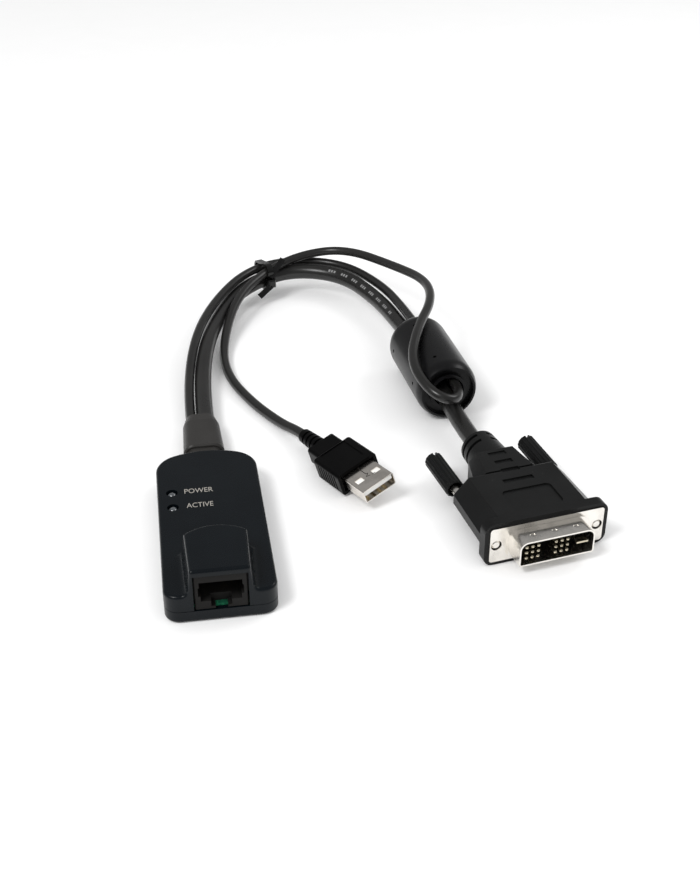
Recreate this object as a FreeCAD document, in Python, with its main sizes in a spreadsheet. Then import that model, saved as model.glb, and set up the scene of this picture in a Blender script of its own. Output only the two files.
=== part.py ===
"""KVM dongle: network-port case with a video lead, a USB lead, a ferrite and a cable tie.

Millimetres, +Z up. The origin is the middle of the case's underside, +Y runs from the
network port to the cable boot, and +X is to the right of someone facing the port.
"""
import FreeCAD, Part
import math
import os
import re
import Sketcher
from FreeCAD import Placement, Rotation, Vector

# Driving dimensions, one cell each. Each group belongs to one assembly.
SIZES = {
    # case
    "CaseWidth": 32.4,
    "CaseLength": 76.0,
    "ArchRadius": 28.0,
    "CornerRadius": 4.5,
    "RearCorner": 9.5,
    "ShoulderHeight": 9.4,
    "PartingHeight": 4.0,
    "SeamGap": 0.16,
    "CaseWall": 1.6,
    "FloorThickness": 1.4,
    "EdgeRound": 1.0,
    "FootRound": 1.1,
    # raised housing over the port
    "HousingTop": 17.8,
    "HousingDraft": 7.0,
    "HousingFrontFoot": 18.8,
    "HousingRearFoot": 20.2,
    "HousingShoulder": 18.8,
    "HousingArch": 14.5,
    "HousingWall": 1.2,
    "SweepRadius": 2.0,
    # network jack
    "JackWidth": 15.1,
    "JackHeight": 11.3,
    "JackLength": 16.0,
    "JackGap": 0.28,
    "JackInset": 0.35,
    "MouthDepth": 11.5,
    "MouthFloor": 2.7,
    "MouthLip": 4.4,
    "MouthNotch": 7.4,
    "MouthRoof": 9.2,
    "MouthWidthLow": 11.6,
    "MouthWidthNotch": 12.9,
    "MouthWidthTop": 12.2,
    "LatchWidth": 5.9,
    "LatchStep": 0.75,
    "LatchNeck": 3.5,
    "LatchDepth": 3.4,
    "ContactPitch": 1.02,
    "ContactWidth": 0.5,
    "ContactGauge": 0.35,
    "ContactFront": 2.4,
    "ContactReach": 8.9,
    "ContactDrop": 1.8,
    "ContactBend": 1.0,
    "ContactFoot": 3.5,
    "JackChamfer": 0.3,
    # circuit board and what it carries
    "BoardWidth": 26.6,
    "BoardTail": 12.1,
    "BoardThickness": 1.6,
    "BoardInset": 1.9,
    "BoardUnder": 1.2,
    "BoardCorner": 3.0,
    "ProcessorSize": 12.0,
    "ProcessorHeight": 1.2,
    "ProcessorX": 3.0,
    "ProcessorY": -7.0,
    "ChipBevel": 0.3,
    "InterfaceWidth": 7.0,
    "InterfaceLength": 5.0,
    "InterfaceHeight": 1.0,
    "InterfaceY": -6.0,
    "CrystalLength": 5.0,
    "CrystalWidth": 3.2,
    "CrystalHeight": 1.1,
    "CrystalY": -12.0,
    "ChipCapLength": 1.6,
    "ChipCapWidth": 0.8,
    "ChipCapPitch": 2.4,
    "ChipCapY": 3.0,
    "HeaderWidth": 16.0,
    "HeaderLength": 4.5,
    "HeaderHeight": 2.6,
    "HeaderSetback": 10.9,
    "PinSocketSize": 0.9,
    "PinSocketPitch": 2.0,
    "PostDiameter": 3.6,
    "PostHole": 4.2,
    "ScrewBore": 1.9,
    "ScrewShank": 1.8,
    "ScrewHeadDiameter": 3.8,
    "ScrewSeatDiameter": 4.0,
    "ScrewHeadHeight": 0.9,
    "ScrewLength": 5.0,
    # status lamps
    "LampHole": 3.6,
    "LampDiameter": 3.0,
    "LampFlange": 3.8,
    "LampFlangeHeight": 0.8,
    "LampHeight": 5.1,
    "LampInset": 4.6,
    "LampSetback": 23.9,
    "LampPitch": 8.0,
    # cable boot
    "BootAxisHeight": 4.7,
    "BootStart": 42.6,
    "BootShoulder": 59.5,
    "BootEnd": 63.8,
    "BootHalfWide": 6.9,
    "BootHalfHigh": 3.7,
    "BootMidWide": 6.3,
    "BootMidHigh": 3.6,
    "BootTipWide": 5.25,
    "BootTipHigh": 3.3,
    "NeckHalfWide": 5.6,
    "NeckHalfHigh": 2.6,
    "NeckClearance": 0.12,
    "FlangeWide": 6.8,
    "FlangeHigh": 3.0,
    "FlangeThickness": 1.6,
    "FlangeSetback": 1.0,
    "BootBevel": 0.5,
    # leads
    "VideoLeadDiameter": 6.2,
    "UsbLeadDiameter": 3.5,
    "LeadCornerShare": 0.45,
    # cable tie
    "TieClearance": 0.42,
    "TieWidth": 2.4,
    "TieThickness": 0.9,
    "TieHeadX": 6.9,
    "TieHeadZ": -2.0,
    "TieHeadWidth": 3.4,
    "TieHeadHeight": 3.6,
    "TieHeadDepth": 4.0,
    "TieHeadBevel": 0.6,
    "TieTailLength": 6.8,
    "TieFlagLength": 9.4,
    "TieRidgeWide": 0.8,
    "TieRidgeHigh": 0.4,
    # ferrite
    "SleeveLength": 41.0,
    "SleeveDiameter": 22.1,
    "SleeveRound": 4.2,
    "SleeveCrown": 1.15,
    "SleeveArc": 8.2,
    "SleeveLip": 0.4,
    "SleeveRimWidth": 0.7,
    "SleeveDish": 2.0,
    "SleeveCollar": 1.1,
    "SleeveBore": 11.3,
    "CoreLength": 28.0,
    "CoreInner": 13.4,
    "CoreOuter": 18.8,
    "CoreGap": 0.05,
    "MouldPinHole": 1.3,
    "MouldPinSpread": 12.6,
    "MouldPinAngle": 106.5,
    "MouldPinStep": 69.0,
    # video plug
    "PlateWidth": 37.5,
    "PlateHeight": 11.9,
    "PlateThickness": 1.0,
    "PlateSeat": 0.5,
    "PlateCorner": 1.0,
    "ScrewSpacing": 33.3,
    "RimWidth": 40.6,
    "RimHeight": 14.8,
    "RimDepth": 4.0,
    "RimCorner": 3.2,
    "PlugBodyEnd": 27.5,
    "PlugBodyWide": 39.6,
    "PlugBodyTail": 38.4,
    "PlugBodyHigh": 13.8,
    "PlugTopWide": 28.8,
    "PlugBevel": 5.4,
    "PlugNeckEnd": 39.5,
    "PlugNeckTopWide": 15.8,
    "PlugNeckRootWide": 23.6,
    "PlugNeckTailWide": 17.4,
    "PlugNeckTailHigh": 13.4,
    "PlugNeckTailTop": 13.0,
    "PlugNeckBevel": 3.2,
    "PlugTailRound": 1.2,
    "ReliefEnd": 54.0,
    "ReliefRadius": 6.9,
    "ReliefTip": 6.2,
    "ReliefShift": 0.9,
    "ReliefDrop": 0.4,
    "ReliefBevel": 1.2,
    "ReliefSlit": 1.3,
    "ReliefSlitStart": 7.4,
    "ReliefSlitPitch": 3.4,
    "ReliefSlitDepth": 1.1,
    "PanelWide": 16.4,
    "PanelStart": 5.8,
    "PanelEnd": 16.4,
    "PanelDepth": 0.5,
    "PanelCorner": 1.6,
    "GripWide": 10.3,
    "GripNarrow": 6.0,
    "GripLength": 2.0,
    "GripDepth": 0.6,
    "GripPitch": 5.0,
    "GripStart": 20.2,
    "GripShift": 5.8,
    "ShellWide": 24.6,
    "ShellHigh": 8.5,
    "ShellReach": 6.9,
    "ShellGauge": 0.5,
    "ShellTopRound": 2.7,
    "ShellFootRound": 0.9,
    "ShellCollar": 0.9,
    "ShellCollarReach": 1.0,
    "DimpleRadius": 0.9,
    "DimplePitch": 7.1,
    "DimpleShift": 0.3,
    "DimpleSetback": 3.9,
    "InsulatorFace": 0.9,
    "InsulatorDepth": 6.0,
    "PinPitch": 1.905,
    "PinDiameter": 1.0,
    "PinReach": 6.5,
    "PinFieldShift": -3.04,
    "PinTipChamfer": 0.3,
    "BladeX": 8.4,
    "BladeWidth": 3.8,
    "BladeThickness": 0.6,
    # jackscrews and thumb knobs
    "JackscrewDiameter": 2.84,
    "JackscrewRunning": 0.06,
    "JackscrewSetback": 0.2,
    "JackscrewBevel": 0.4,
    "PlateHole": 3.44,
    "KnobStart": 31.4,
    "KnobLength": 18.4,
    "KnobDiameter": 6.1,
    "KnobBevel": 0.5,
    "KnobFlutes": 14,
    "FluteRadius": 0.42,
    "KnobBore": 14.0,
    "KnobRecess": 1.6,
    "KnobRecessDiameter": 4.7,
    "DriverSlotWidth": 1.1,
    "DriverSlotDepth": 1.6,
    # USB plug
    "UsbWidth": 12.0,
    "UsbHeight": 4.5,
    "UsbReach": 11.5,
    "UsbGauge": 0.3,
    "UsbCornerRound": 0.6,
    "UsbSeat": 2.0,
    "WindowSize": 2.7,
    "WindowLength": 2.2,
    "WindowSpread": 6.5,
    "WindowSetback": 5.7,
    "TongueThickness": 1.84,
    "TongueInset": 0.5,
    "UsbContactWidth": 1.0,
    "UsbContactPitch": 2.3,
    "UsbContactLength": 7.4,
    "UsbContactGauge": 0.15,
    "UsbBodyWide": 15.4,
    "UsbBodyHigh": 8.0,
    "UsbBodyLow": 0.2,
    "UsbBodyEnd": 26.6,
    "UsbBodyCorner": 1.1,
    "UsbRecessDepth": 1.0,
    "UsbRecessWall": 1.1,
    "UsbNeckWide": 10.8,
    "UsbNeckHigh": 6.4,
    "UsbNeckEnd": 33.2,
    "UsbPanelWide": 9.7,
    "UsbPanelStart": 13.9,
    "UsbPanelEnd": 25.6,
    "UsbPanelDepth": 0.3,
    "UsbRibPitch": 1.5,
    "UsbRibDepth": 0.4,
    "UsbReliefEnd": 44.4,
    "UsbReliefRadius": 3.0,
    "UsbReliefTip": 2.5,
    "UsbReliefGroove": 0.9,
    "UsbReliefRing": 0.6,
    "UsbReliefPitch": 2.4,
}

# Where the loose ends lie: place of each one's own origin and its turn about Z, then X, then Y.
VIDEO_PLUG_PLACE = Placement(Vector(98.64, -23.17, 7.4), Rotation(Vector(0, 0, 1), 9.77))
SLEEVE_PLACE = Placement(Vector(85.53, 79.73, 11.05), Rotation(Vector(0, 0, 1), 4.69))
USB_PLUG_PLACE = Placement(
    Vector(53.47, 9.31, 7.58),
    Rotation(Vector(0, 0, 1), 25.08) * Rotation(Vector(1, 0, 0), -4.2) * Rotation(Vector(0, 1, 0), -15.9),
)

TIE_PLACE = Placement(Vector(33.36, 172.24, 10.5), Rotation(Vector(0, 0, 1), -71.3))

# The three strands inside the tie, seen along it: across, up and radius of each.
TIED_STRANDS = [(1.31, -2.4, 3.1), (4.2, 2.3, 1.85), (-4.05, 0.81, 1.75)]

# Where the tie's two free ends start, and the ways their lengths and their broad faces point.
TIE_FLAG = (Vector(6.6, -0.1, 0.2), Vector(-0.213, 0.725, 0.656), Vector(0.811, -0.243, 0.532))
TIE_TAIL = (Vector(7.9, -0.2, -2.9), Vector(-0.02, -0.815, -0.58), Vector(0.83, -0.336, 0.445))

# Corners of the two leads' routes, from the boot to the strain reliefs of the plugs.
VIDEO_LEAD_CORNERS = [
    (1.8, 63.8, 4.7), (1.8, 88, 4.9), (5, 115, 7.2), (11.4, 141, 6), (22.6, 165.5, 6.8),
    (43.5, 176, 9.4), (66, 167, 9.6), (77.2, 144, 8), (82, 118, 8.2), (84.8, 97.5, 9.2),
    (86.3, 58.3, 9), (88.84, 39.07, 7), (90.36, 30.2, 7),
]
USB_LEAD_CORNERS = [
    (-3.3, 63.8, 4.7), (-3.4, 86, 5.4), (1.1, 116.8, 10.6), (10.9, 146, 11.4), (25.2, 170.4, 11.9),
    (43, 180.6, 11.8), (67.2, 176, 10.8), (80.2, 150.4, 11), (84, 124, 12.6), (85.9, 99.6, 14),
    (88.9, 69, 13.6), (90, 53, 14), (84.8, 46.3, 15.1), (78, 51, 17.4), (74.7, 66.6, 20.5),
    (81, 85.4, 24), (90.9, 105.5, 25.1), (93, 127, 23.2), (85.3, 149.5, 19.6), (69, 176, 17.2),
    (49.8, 178, 15), (32.2, 167.4, 12.4), (19.2, 148.5, 9.9), (11.8, 122.5, 2.9), (12, 100.5, 1.8),
    (19.2, 79, 1.9), (28, 62, 2.3), (32.6, 53.93, 3.96), (34.69, 49.43, 4.33),
]

doc = FreeCAD.newDocument("KvmDongle")
sheet = doc.addObject("Spreadsheet::Sheet", "Sizes")
for row, (alias, number) in enumerate(SIZES.items(), start=1):
    sheet.set("A%d" % row, alias)
    sheet.set("B%d" % row, str(number))
    sheet.setAlias("B%d" % row, alias)
doc.recompute()

nodes = []


def bound(formula):
    """The formula with each size's name pointed at the sheet."""
    return re.sub(r"[A-Z][A-Za-z]+", lambda match: "Sizes." + match.group(), formula)


def value(formula):
    """What a formula of size names comes to."""
    return float(sheet.evalExpression(bound(formula)))


def node(kind, name, placement=None):
    """A new top-level object whose label names its file."""
    made = doc.addObject(kind, name)
    made.Label = name
    if placement is not None:
        made.Placement = placement
    nodes.append(made)
    return made


def solid_body(name, placement=None):
    """A new body at a placement."""
    return node("PartDesign::Body", name, placement)


def datum(body, role):
    """One of a body's own origin planes or axes."""
    return next(item for item in body.Origin.OriginFeatures if item.Role == role)


def sketch_on(body, plane, lift="0"):
    """A sketch on an origin plane, moved along the plane's normal by a formula.

    On XY_Plane the normal is +Z, on XZ_Plane it is -Y and on YZ_Plane it is +X.
    """
    sketch = body.newObject("Sketcher::SketchObject", body.Name + "_sketch")
    sketch.AttachmentSupport = [(datum(body, plane), "")]
    sketch.MapMode = "FlatFace"
    if lift != "0":
        sketch.setExpression("AttachmentOffset.Base.z", bound(lift))
    return sketch


def constrain(sketch, kind, *what_and_formula):
    """A dimensional constraint bound to a formula."""
    *what, formula = what_and_formula
    index = sketch.addConstraint(Sketcher.Constraint(kind, *what, value(formula)))
    sketch.setExpression("Constraints[%d]" % index, bound(formula))


def arc_between(start, end, radius):
    """Arc from start to end: a positive radius turns left, a negative one turns right."""
    chord = end - start
    half = chord.Length / 2
    sagitta = abs(radius) - math.sqrt(max(radius * radius - half * half, 0.0))
    outward = Vector(chord.y, -chord.x, 0).normalize()
    if radius < 0:
        outward = -outward
    return Part.Arc(start, (start + end) / 2 + outward * sagitta, end)


def outline(sketch, *corners):
    """Closed outline through corners (x, y); (x, y, radius) reaches its corner by an arc.

    A radius of None makes that arc a half circle whose two ends are one above the other.
    """
    places = [Vector(value(corner[0]), value(corner[1]), 0) for corner in corners]
    edges = []
    for index, corner in enumerate(corners):
        start, end = places[index - 1], places[index]
        curve = Part.LineSegment(start, end)
        if len(corner) == 3:
            radius = value(corner[2]) if corner[2] else start.distanceToPoint(end) / 2
            curve = arc_between(start, end, radius)
        edges.append(sketch.addGeometry(curve))
    tips = []
    for edge, place in zip(edges, places):
        arrives_last = sketch.getPoint(edge, 2).distanceToPoint(place) < 1e-6
        tips.append((edge, 2 if arrives_last else 1))
    for index, corner in enumerate(corners):
        edge, tip = tips[index]
        following, other = tips[(index + 1) % len(tips)]
        sketch.addConstraint(Sketcher.Constraint("Coincident", edge, tip, following, 3 - other))
        constrain(sketch, "DistanceX", -1, 1, edge, tip, corner[0])
        constrain(sketch, "DistanceY", -1, 1, edge, tip, corner[1])
        if len(corner) == 3 and corner[2]:
            constrain(sketch, "Radius", edge, "abs(%s)" % corner[2])
        elif len(corner) == 3:
            constrain(sketch, "DistanceX", -1, 1, edge, 3, corner[0])


def rectangle(sketch, left, bottom, right, top):
    """Upright rectangle between two corners."""
    outline(sketch, (left, bottom), (right, bottom), (right, top), (left, top))


def circle(sketch, across, upward, radius):
    """Circle about a point."""
    centre = Vector(value(across), value(upward), 0)
    made = sketch.addGeometry(Part.Circle(centre, Vector(0, 0, 1), value(radius)))
    constrain(sketch, "DistanceX", -1, 1, made, 3, across)
    constrain(sketch, "DistanceY", -1, 1, made, 3, upward)
    constrain(sketch, "Radius", made, radius)


def rounded(sketch, left, bottom, right, top, foot_round, top_round):
    """Rectangle with its lower and its upper corners rounded."""
    outline(
        sketch,
        ("%s - %s" % (right, foot_round), bottom),
        (right, "%s + %s" % (bottom, foot_round), foot_round),
        (right, "%s - %s" % (top, top_round)),
        ("%s - %s" % (right, top_round), top, top_round),
        ("%s + %s" % (left, top_round), top),
        (left, "%s - %s" % (top, top_round), top_round),
        (left, "%s + %s" % (bottom, foot_round)),
        ("%s + %s" % (left, foot_round), bottom, foot_round),
    )


def oval(sketch, half_wide, half_high, upward):
    """Oval with half circles for ends, about (0, upward)."""
    reach = "(%s - %s)" % (half_wide, half_high)
    low = "%s - %s" % (upward, half_high)
    high = "%s + %s" % (upward, half_high)
    outline(sketch, ("-" + reach, low, None), (reach, low), (reach, high, None), ("-" + reach, high))


def bevelled(sketch, wide, high, top_wide, bevel):
    """Block section whose four corners are cut by flats that leave top_wide above and below."""
    side, flat = "%s / 2" % wide, "%s / 2" % top_wide
    top, shoulder = "%s / 2" % high, "(%s / 2 - %s)" % (high, bevel)
    outline(
        sketch,
        ("-" + side, "-" + shoulder), ("-" + flat, "-" + top), (flat, "-" + top), (side, "-" + shoulder),
        (side, shoulder), (flat, top), ("-" + flat, top), ("-" + side, shoulder),
    )


def feature(body, kind, name):
    """A new feature at the end of a body."""
    made = body.newObject("PartDesign::" + kind, body.Name + "_" + name)
    made.Refine = True
    return made


def pad(body, sketch, length, backwards=False, draft=None):
    """Extrude a sketch along its normal, or against it, drawn in by a draft angle."""
    made = feature(body, "Pad", "pad")
    made.Profile = sketch
    made.setExpression("Length", bound(length))
    if draft:
        made.setExpression("TaperAngle", bound("-" + draft))
    made.Reversed = backwards
    doc.recompute()
    return made


def cut_away(body, made):
    """Recompute and stop if a cutting feature removed nothing."""
    before = made.BaseFeature.Shape.Volume
    doc.recompute()
    if not made.Shape.Volume < before - 1e-4:
        raise ValueError("%s cuts nothing" % made.Name)
    return made


def pocket(body, sketch, depth, backwards=False):
    """Cut a sketch against its normal, or along it when backwards."""
    made = feature(body, "Pocket", "pocket")
    made.Profile = sketch
    made.setExpression("Length", bound(depth))
    made.Reversed = backwards
    return cut_away(body, made)


def loft(body, *sketches):
    """Straight-sided loft through sketches."""
    made = feature(body, "AdditiveLoft", "loft")
    made.Profile = sketches[0]
    made.Sections = list(sketches[1:])
    made.Ruled = True
    doc.recompute()
    return made


def revolve(body, sketch, axis):
    """Full turn of a sketch about one of the body's axes."""
    made = feature(body, "Revolution", "revolution")
    made.Profile = sketch
    made.ReferenceAxis = (datum(body, axis), [""])
    made.Angle = 360
    doc.recompute()
    return made


def groove(body, sketch, axis, angle=360):
    """Cut a sketch turned about one of the body's axes, to both sides of its plane."""
    made = feature(body, "Groove", "groove")
    made.Profile = sketch
    made.ReferenceAxis = (datum(body, axis), [""])
    made.Midplane = True
    made.Angle = angle
    return cut_away(body, made)


def repeat(body, original, axis, length, count):
    """Repeat a feature in a row along one of the body's axes."""
    made = feature(body, "LinearPattern", "row")
    made.Originals = [original]
    made.Direction = (datum(body, axis), [""])
    made.setExpression("Length", bound(length))
    made.Occurrences = count
    body.Tip = made
    doc.recompute()
    return made


def ring_of(body, original, axis, angle, count, backwards=False):
    """Repeat a feature around one of the body's axes."""
    made = feature(body, "PolarPattern", "ring")
    made.Originals = [original]
    made.Axis = (datum(body, axis), [""])
    made.Angle = angle
    made.Reversed = backwards
    made.setExpression("Occurrences", bound(count))
    body.Tip = made
    doc.recompute()
    return made


def mirror(body, plane, *originals):
    """Mirror features in one of the body's planes."""
    made = feature(body, "Mirrored", "mirror")
    made.Originals = list(originals)
    made.MirrorPlane = (datum(body, plane), [""])
    body.Tip = made
    doc.recompute()
    return made


def edges_where(shape, test):
    """Names of the edges whose middle point passes a test."""
    names = []
    for index, edge in enumerate(shape.Edges, start=1):
        middle = edge.valueAt((edge.FirstParameter + edge.LastParameter) / 2)
        if test(edge, middle):
            names.append("Edge%d" % index)
    return names


def dress(body, kind, amount_property, amount, test):
    """Fillet or chamfer the edges of a body's last feature that pass a test."""
    base = body.Tip
    names = edges_where(base.Shape, test)
    made = feature(body, kind, kind.lower())
    made.Base = (base, names)
    made.setExpression(amount_property, bound(amount))
    doc.recompute()
    return made


def fillet(body, radius, test):
    """Round edges."""
    return dress(body, "Fillet", "Radius", radius, test)


def chamfer(body, size, test):
    """Bevel edges."""
    return dress(body, "Chamfer", "Size", size, test)


def runs_along(edge, axis):
    """Whether an edge is straight and parallel to a unit vector."""
    if not isinstance(edge.Curve, Part.Line):
        return False
    return abs(abs(edge.tangentAt(edge.FirstParameter).dot(axis)) - 1) < 1e-6


def block(name, left, front, width, length, base, height):
    """A plain box body on the board."""
    body = solid_body(name)
    plan = sketch_on(body, "XY_Plane", base)
    rectangle(plan, left, front, "%s + %s" % (left, width), "%s + %s" % (front, length))
    pad(body, plan, height)
    return body


ACROSS, ALONG, UPWARD = Vector(1, 0, 0), Vector(0, 1, 0), Vector(0, 0, 1)

# ---------------------------------------------------------------- case

LIP = "(PartingHeight + SeamGap / 2)"
CEILING = "(ShoulderHeight - CaseWall)"
BOARD_BASE = "(FloorThickness + BoardUnder)"
BOARD_TOP = "(FloorThickness + BoardUnder + BoardThickness)"
JACK_FRONT = "(CaseLength / 2 - JackInset)"
POST_X = "(BoardWidth / 2 - BoardCorner)"
BOARD_END = "(CaseLength / 2 - BoardTail)"
POST_Y = "(%s - BoardCorner - PostDiameter / 2)" % BOARD_END
LAMP_X = "-(CaseWidth / 2 - LampInset)"
POWER_LAMP_Y = "(CaseLength / 2 - LampSetback)"


def case_plan(sketch, inset="0"):
    """Plan of the case: flat front, straight sides and an arched rear."""
    side = "(CaseWidth / 2 - %s)" % inset
    arch = "(ArchRadius - %s)" % inset
    front = "-(CaseLength / 2 - %s)" % inset
    rear = "CaseLength / 2 - ArchRadius + sqrt(%s^2 - %s^2)" % (arch, side)
    outline(sketch, ("-" + side, front), (side, front), (side, rear), ("-" + side, rear, arch))


def housing_plan(sketch):
    """Foot of the raised housing: past the case's front, widening to an arched rear."""
    front, shoulder = "-(CaseLength / 2 + CornerRadius)", "HousingShoulder - CaseLength / 2"
    outline(
        sketch,
        ("-HousingFrontFoot / 2", front), ("HousingFrontFoot / 2", front),
        ("HousingRearFoot / 2", shoulder), ("-HousingRearFoot / 2", shoulder, "HousingArch"),
    )


def round_plan_corners(body):
    """Round the upright edges of a shell: tighter in front, wider where the sides meet the arch."""
    fillet(body, "CornerRadius", lambda edge, middle: runs_along(edge, UPWARD) and middle.y < 0)
    fillet(body, "RearCorner", lambda edge, middle: runs_along(edge, UPWARD) and middle.y > 0)


def cut_boot_gap(body):
    """Oval opening in the rear wall for the boot's neck."""
    gap = sketch_on(body, "XZ_Plane", "-(CaseLength / 2 + CaseWall)")
    oval(gap, "(NeckHalfWide + NeckClearance)", "(NeckHalfHigh + NeckClearance)", "BootAxisHeight")
    pocket(body, gap, "4 * CaseWall", backwards=True)


def build_upper_case():
    """Upper shell with the housing over the port, lamp holes and two screw posts."""
    body = solid_body("upper_case")
    plan = sketch_on(body, "XY_Plane", LIP)
    case_plan(plan)
    pad(body, plan, "ShoulderHeight - " + LIP)
    round_plan_corners(body)

    foot = sketch_on(body, "XY_Plane", "ShoulderHeight")
    housing_plan(foot)
    pad(body, foot, "HousingTop - ShoulderHeight", draft="HousingDraft")
    face = sketch_on(body, "XZ_Plane", "CaseLength / 2")
    rectangle(face, "-CaseWidth / 2", LIP, "CaseWidth / 2", "HousingTop + 1")
    pocket(body, face, "2 * CornerRadius", backwards=True)

    shoulder, front = value("ShoulderHeight"), -value("CaseLength") / 2
    foot_reach = value("HousingRearFoot") / 2 + 0.1
    foot_rear = front + value("HousingShoulder + HousingArch")
    fillet(body, "SweepRadius", lambda edge, middle: (
        abs(middle.z - shoulder) < 1e-4 and front + 0.1 < middle.y < foot_rear and abs(middle.x) < foot_reach))
    fillet(body, "EdgeRound", is_outer_edge)

    hollow = sketch_on(body, "XY_Plane", LIP)
    case_plan(hollow, "CaseWall")
    pocket(body, hollow, CEILING + " - " + LIP, backwards=True)
    bay = sketch_on(body, "XY_Plane", CEILING)
    rectangle(
        bay, "-(JackWidth / 2 + JackGap / 2)", "CaseWall - CaseLength / 2",
        "JackWidth / 2 + JackGap / 2", "HousingShoulder - CaseLength / 2 + CaseWall")
    pocket(body, bay, "HousingTop - HousingWall - " + CEILING, backwards=True)
    window = sketch_on(body, "XZ_Plane", "CaseLength / 2")
    rectangle(
        window, "-(JackWidth / 2 + JackGap)", LIP,
        "JackWidth / 2 + JackGap", BOARD_TOP + " + JackHeight + JackGap")
    pocket(body, window, "CaseWall + 1")
    lamps = sketch_on(body, "XY_Plane", "ShoulderHeight")
    circle(lamps, LAMP_X, POWER_LAMP_Y, "LampHole / 2")
    circle(lamps, LAMP_X, POWER_LAMP_Y + " - LampPitch", "LampHole / 2")
    pocket(body, lamps, "CaseWall + 1")
    cut_boot_gap(body)

    posts = sketch_on(body, "XY_Plane", BOARD_BASE)
    for side in ("-", ""):
        circle(posts, side + POST_X, POST_Y, "PostDiameter / 2")
    pad(body, posts, CEILING + " - " + BOARD_BASE)
    bores = sketch_on(body, "XY_Plane", BOARD_BASE)
    for side in ("-", ""):
        circle(bores, side + POST_X, POST_Y, "ScrewBore / 2")
    pocket(body, bores, "ScrewLength + ScrewHeadHeight - %s + SeamGap" % BOARD_BASE, backwards=True)


def is_outer_edge(edge, middle):
    """Whether an edge of the upper shell is one of its outside corners above the parting line."""
    shoulder, crown, front = value("ShoulderHeight"), value("HousingTop"), -value("CaseLength") / 2
    if middle.z < shoulder - 1e-4:
        return False
    if middle.y < front + 1e-4 or middle.z > crown - 1e-4:
        return True
    is_rim = middle.y > 0 or abs(middle.x) > value("HousingRearFoot / 2 + SweepRadius + EdgeRound")
    return middle.z < shoulder + 1e-4 and is_rim


def build_lower_case():
    """Tray that closes the case, with board rests and the boot's half opening."""
    body = solid_body("lower_case")
    rim = "(PartingHeight - SeamGap / 2)"
    plan = sketch_on(body, "XY_Plane")
    case_plan(plan)
    pad(body, plan, rim)
    round_plan_corners(body)
    fillet(body, "FootRound", lambda edge, middle: abs(middle.z) < 1e-4)
    hollow = sketch_on(body, "XY_Plane", "FloorThickness")
    case_plan(hollow, "CaseWall")
    pocket(body, hollow, rim + " - FloorThickness", backwards=True)
    cut_boot_gap(body)
    rests = sketch_on(body, "XY_Plane", "FloorThickness")
    for side in ("-", ""):
        circle(rests, side + POST_X, POST_Y, "PostDiameter / 2 + 1")
        circle(rests, side + POST_X, "-" + POST_Y, "PostDiameter / 2")
    pad(body, rests, "BoardUnder")
    heads = sketch_on(body, "XY_Plane")
    shanks = sketch_on(body, "XY_Plane", "ScrewHeadHeight")
    for side in ("-", ""):
        circle(heads, side + POST_X, POST_Y, "ScrewSeatDiameter / 2")
        circle(shanks, side + POST_X, POST_Y, "ScrewBore / 2")
    pocket(body, heads, "ScrewHeadHeight", backwards=True)
    pocket(body, shanks, BOARD_BASE + " - ScrewHeadHeight", backwards=True)


def build_case_screws():
    """Two screws in the underside, one solid each."""
    body = solid_body("case_screws")
    heads = sketch_on(body, "XY_Plane")
    shanks = sketch_on(body, "XY_Plane", "ScrewHeadHeight")
    for side in ("-", ""):
        circle(heads, side + POST_X, POST_Y, "ScrewHeadDiameter / 2")
        circle(shanks, side + POST_X, POST_Y, "ScrewShank / 2")
    pad(body, heads, "ScrewHeadHeight")
    pad(body, shanks, "ScrewLength")


# ---------------------------------------------------------------- network jack

ROOF = "(%s + MouthRoof)" % BOARD_TOP
CONTACT_FRONT = "(ContactFront - %s)" % JACK_FRONT


def stepped_outline(sketch, steps):
    """Outline with the same steps on both sides: each step gives a full width and a height."""
    right = [("%s / 2" % width, "%s + %s" % (BOARD_TOP, height)) for width, height in steps]
    left = [("-" + across, upward) for across, upward in reversed(right)]
    outline(sketch, *right, *left)


def build_network_jack():
    """Eight-way jack body with its stepped mouth and latch notch."""
    body = solid_body("rj45_jack")
    face = sketch_on(body, "XZ_Plane", JACK_FRONT)
    rectangle(face, "-JackWidth / 2", BOARD_TOP, "JackWidth / 2", BOARD_TOP + " + JackHeight")
    pad(body, face, "JackLength", backwards=True)
    mouth = sketch_on(body, "XZ_Plane", JACK_FRONT)
    stepped_outline(mouth, [
        ("MouthWidthLow", "MouthFloor"), ("MouthWidthLow", "MouthLip"),
        ("MouthWidthNotch", "MouthLip"), ("MouthWidthNotch", "MouthNotch"),
        ("MouthWidthTop", "MouthNotch"), ("MouthWidthTop", "MouthRoof"),
    ])
    pocket(body, mouth, "MouthDepth")
    latch = sketch_on(body, "XZ_Plane", JACK_FRONT)
    stepped_outline(latch, [
        ("LatchNeck", "0"), ("LatchNeck", "LatchStep"),
        ("LatchWidth", "LatchStep"), ("LatchWidth", "MouthLip"),
    ])
    pocket(body, latch, "LatchDepth")
    chamfer(body, "JackChamfer", lambda edge, middle: (
        abs(middle.y + value(JACK_FRONT)) < 1e-4 and abs(middle.x) > value("MouthWidthNotch / 2 + JackChamfer")))


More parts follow.
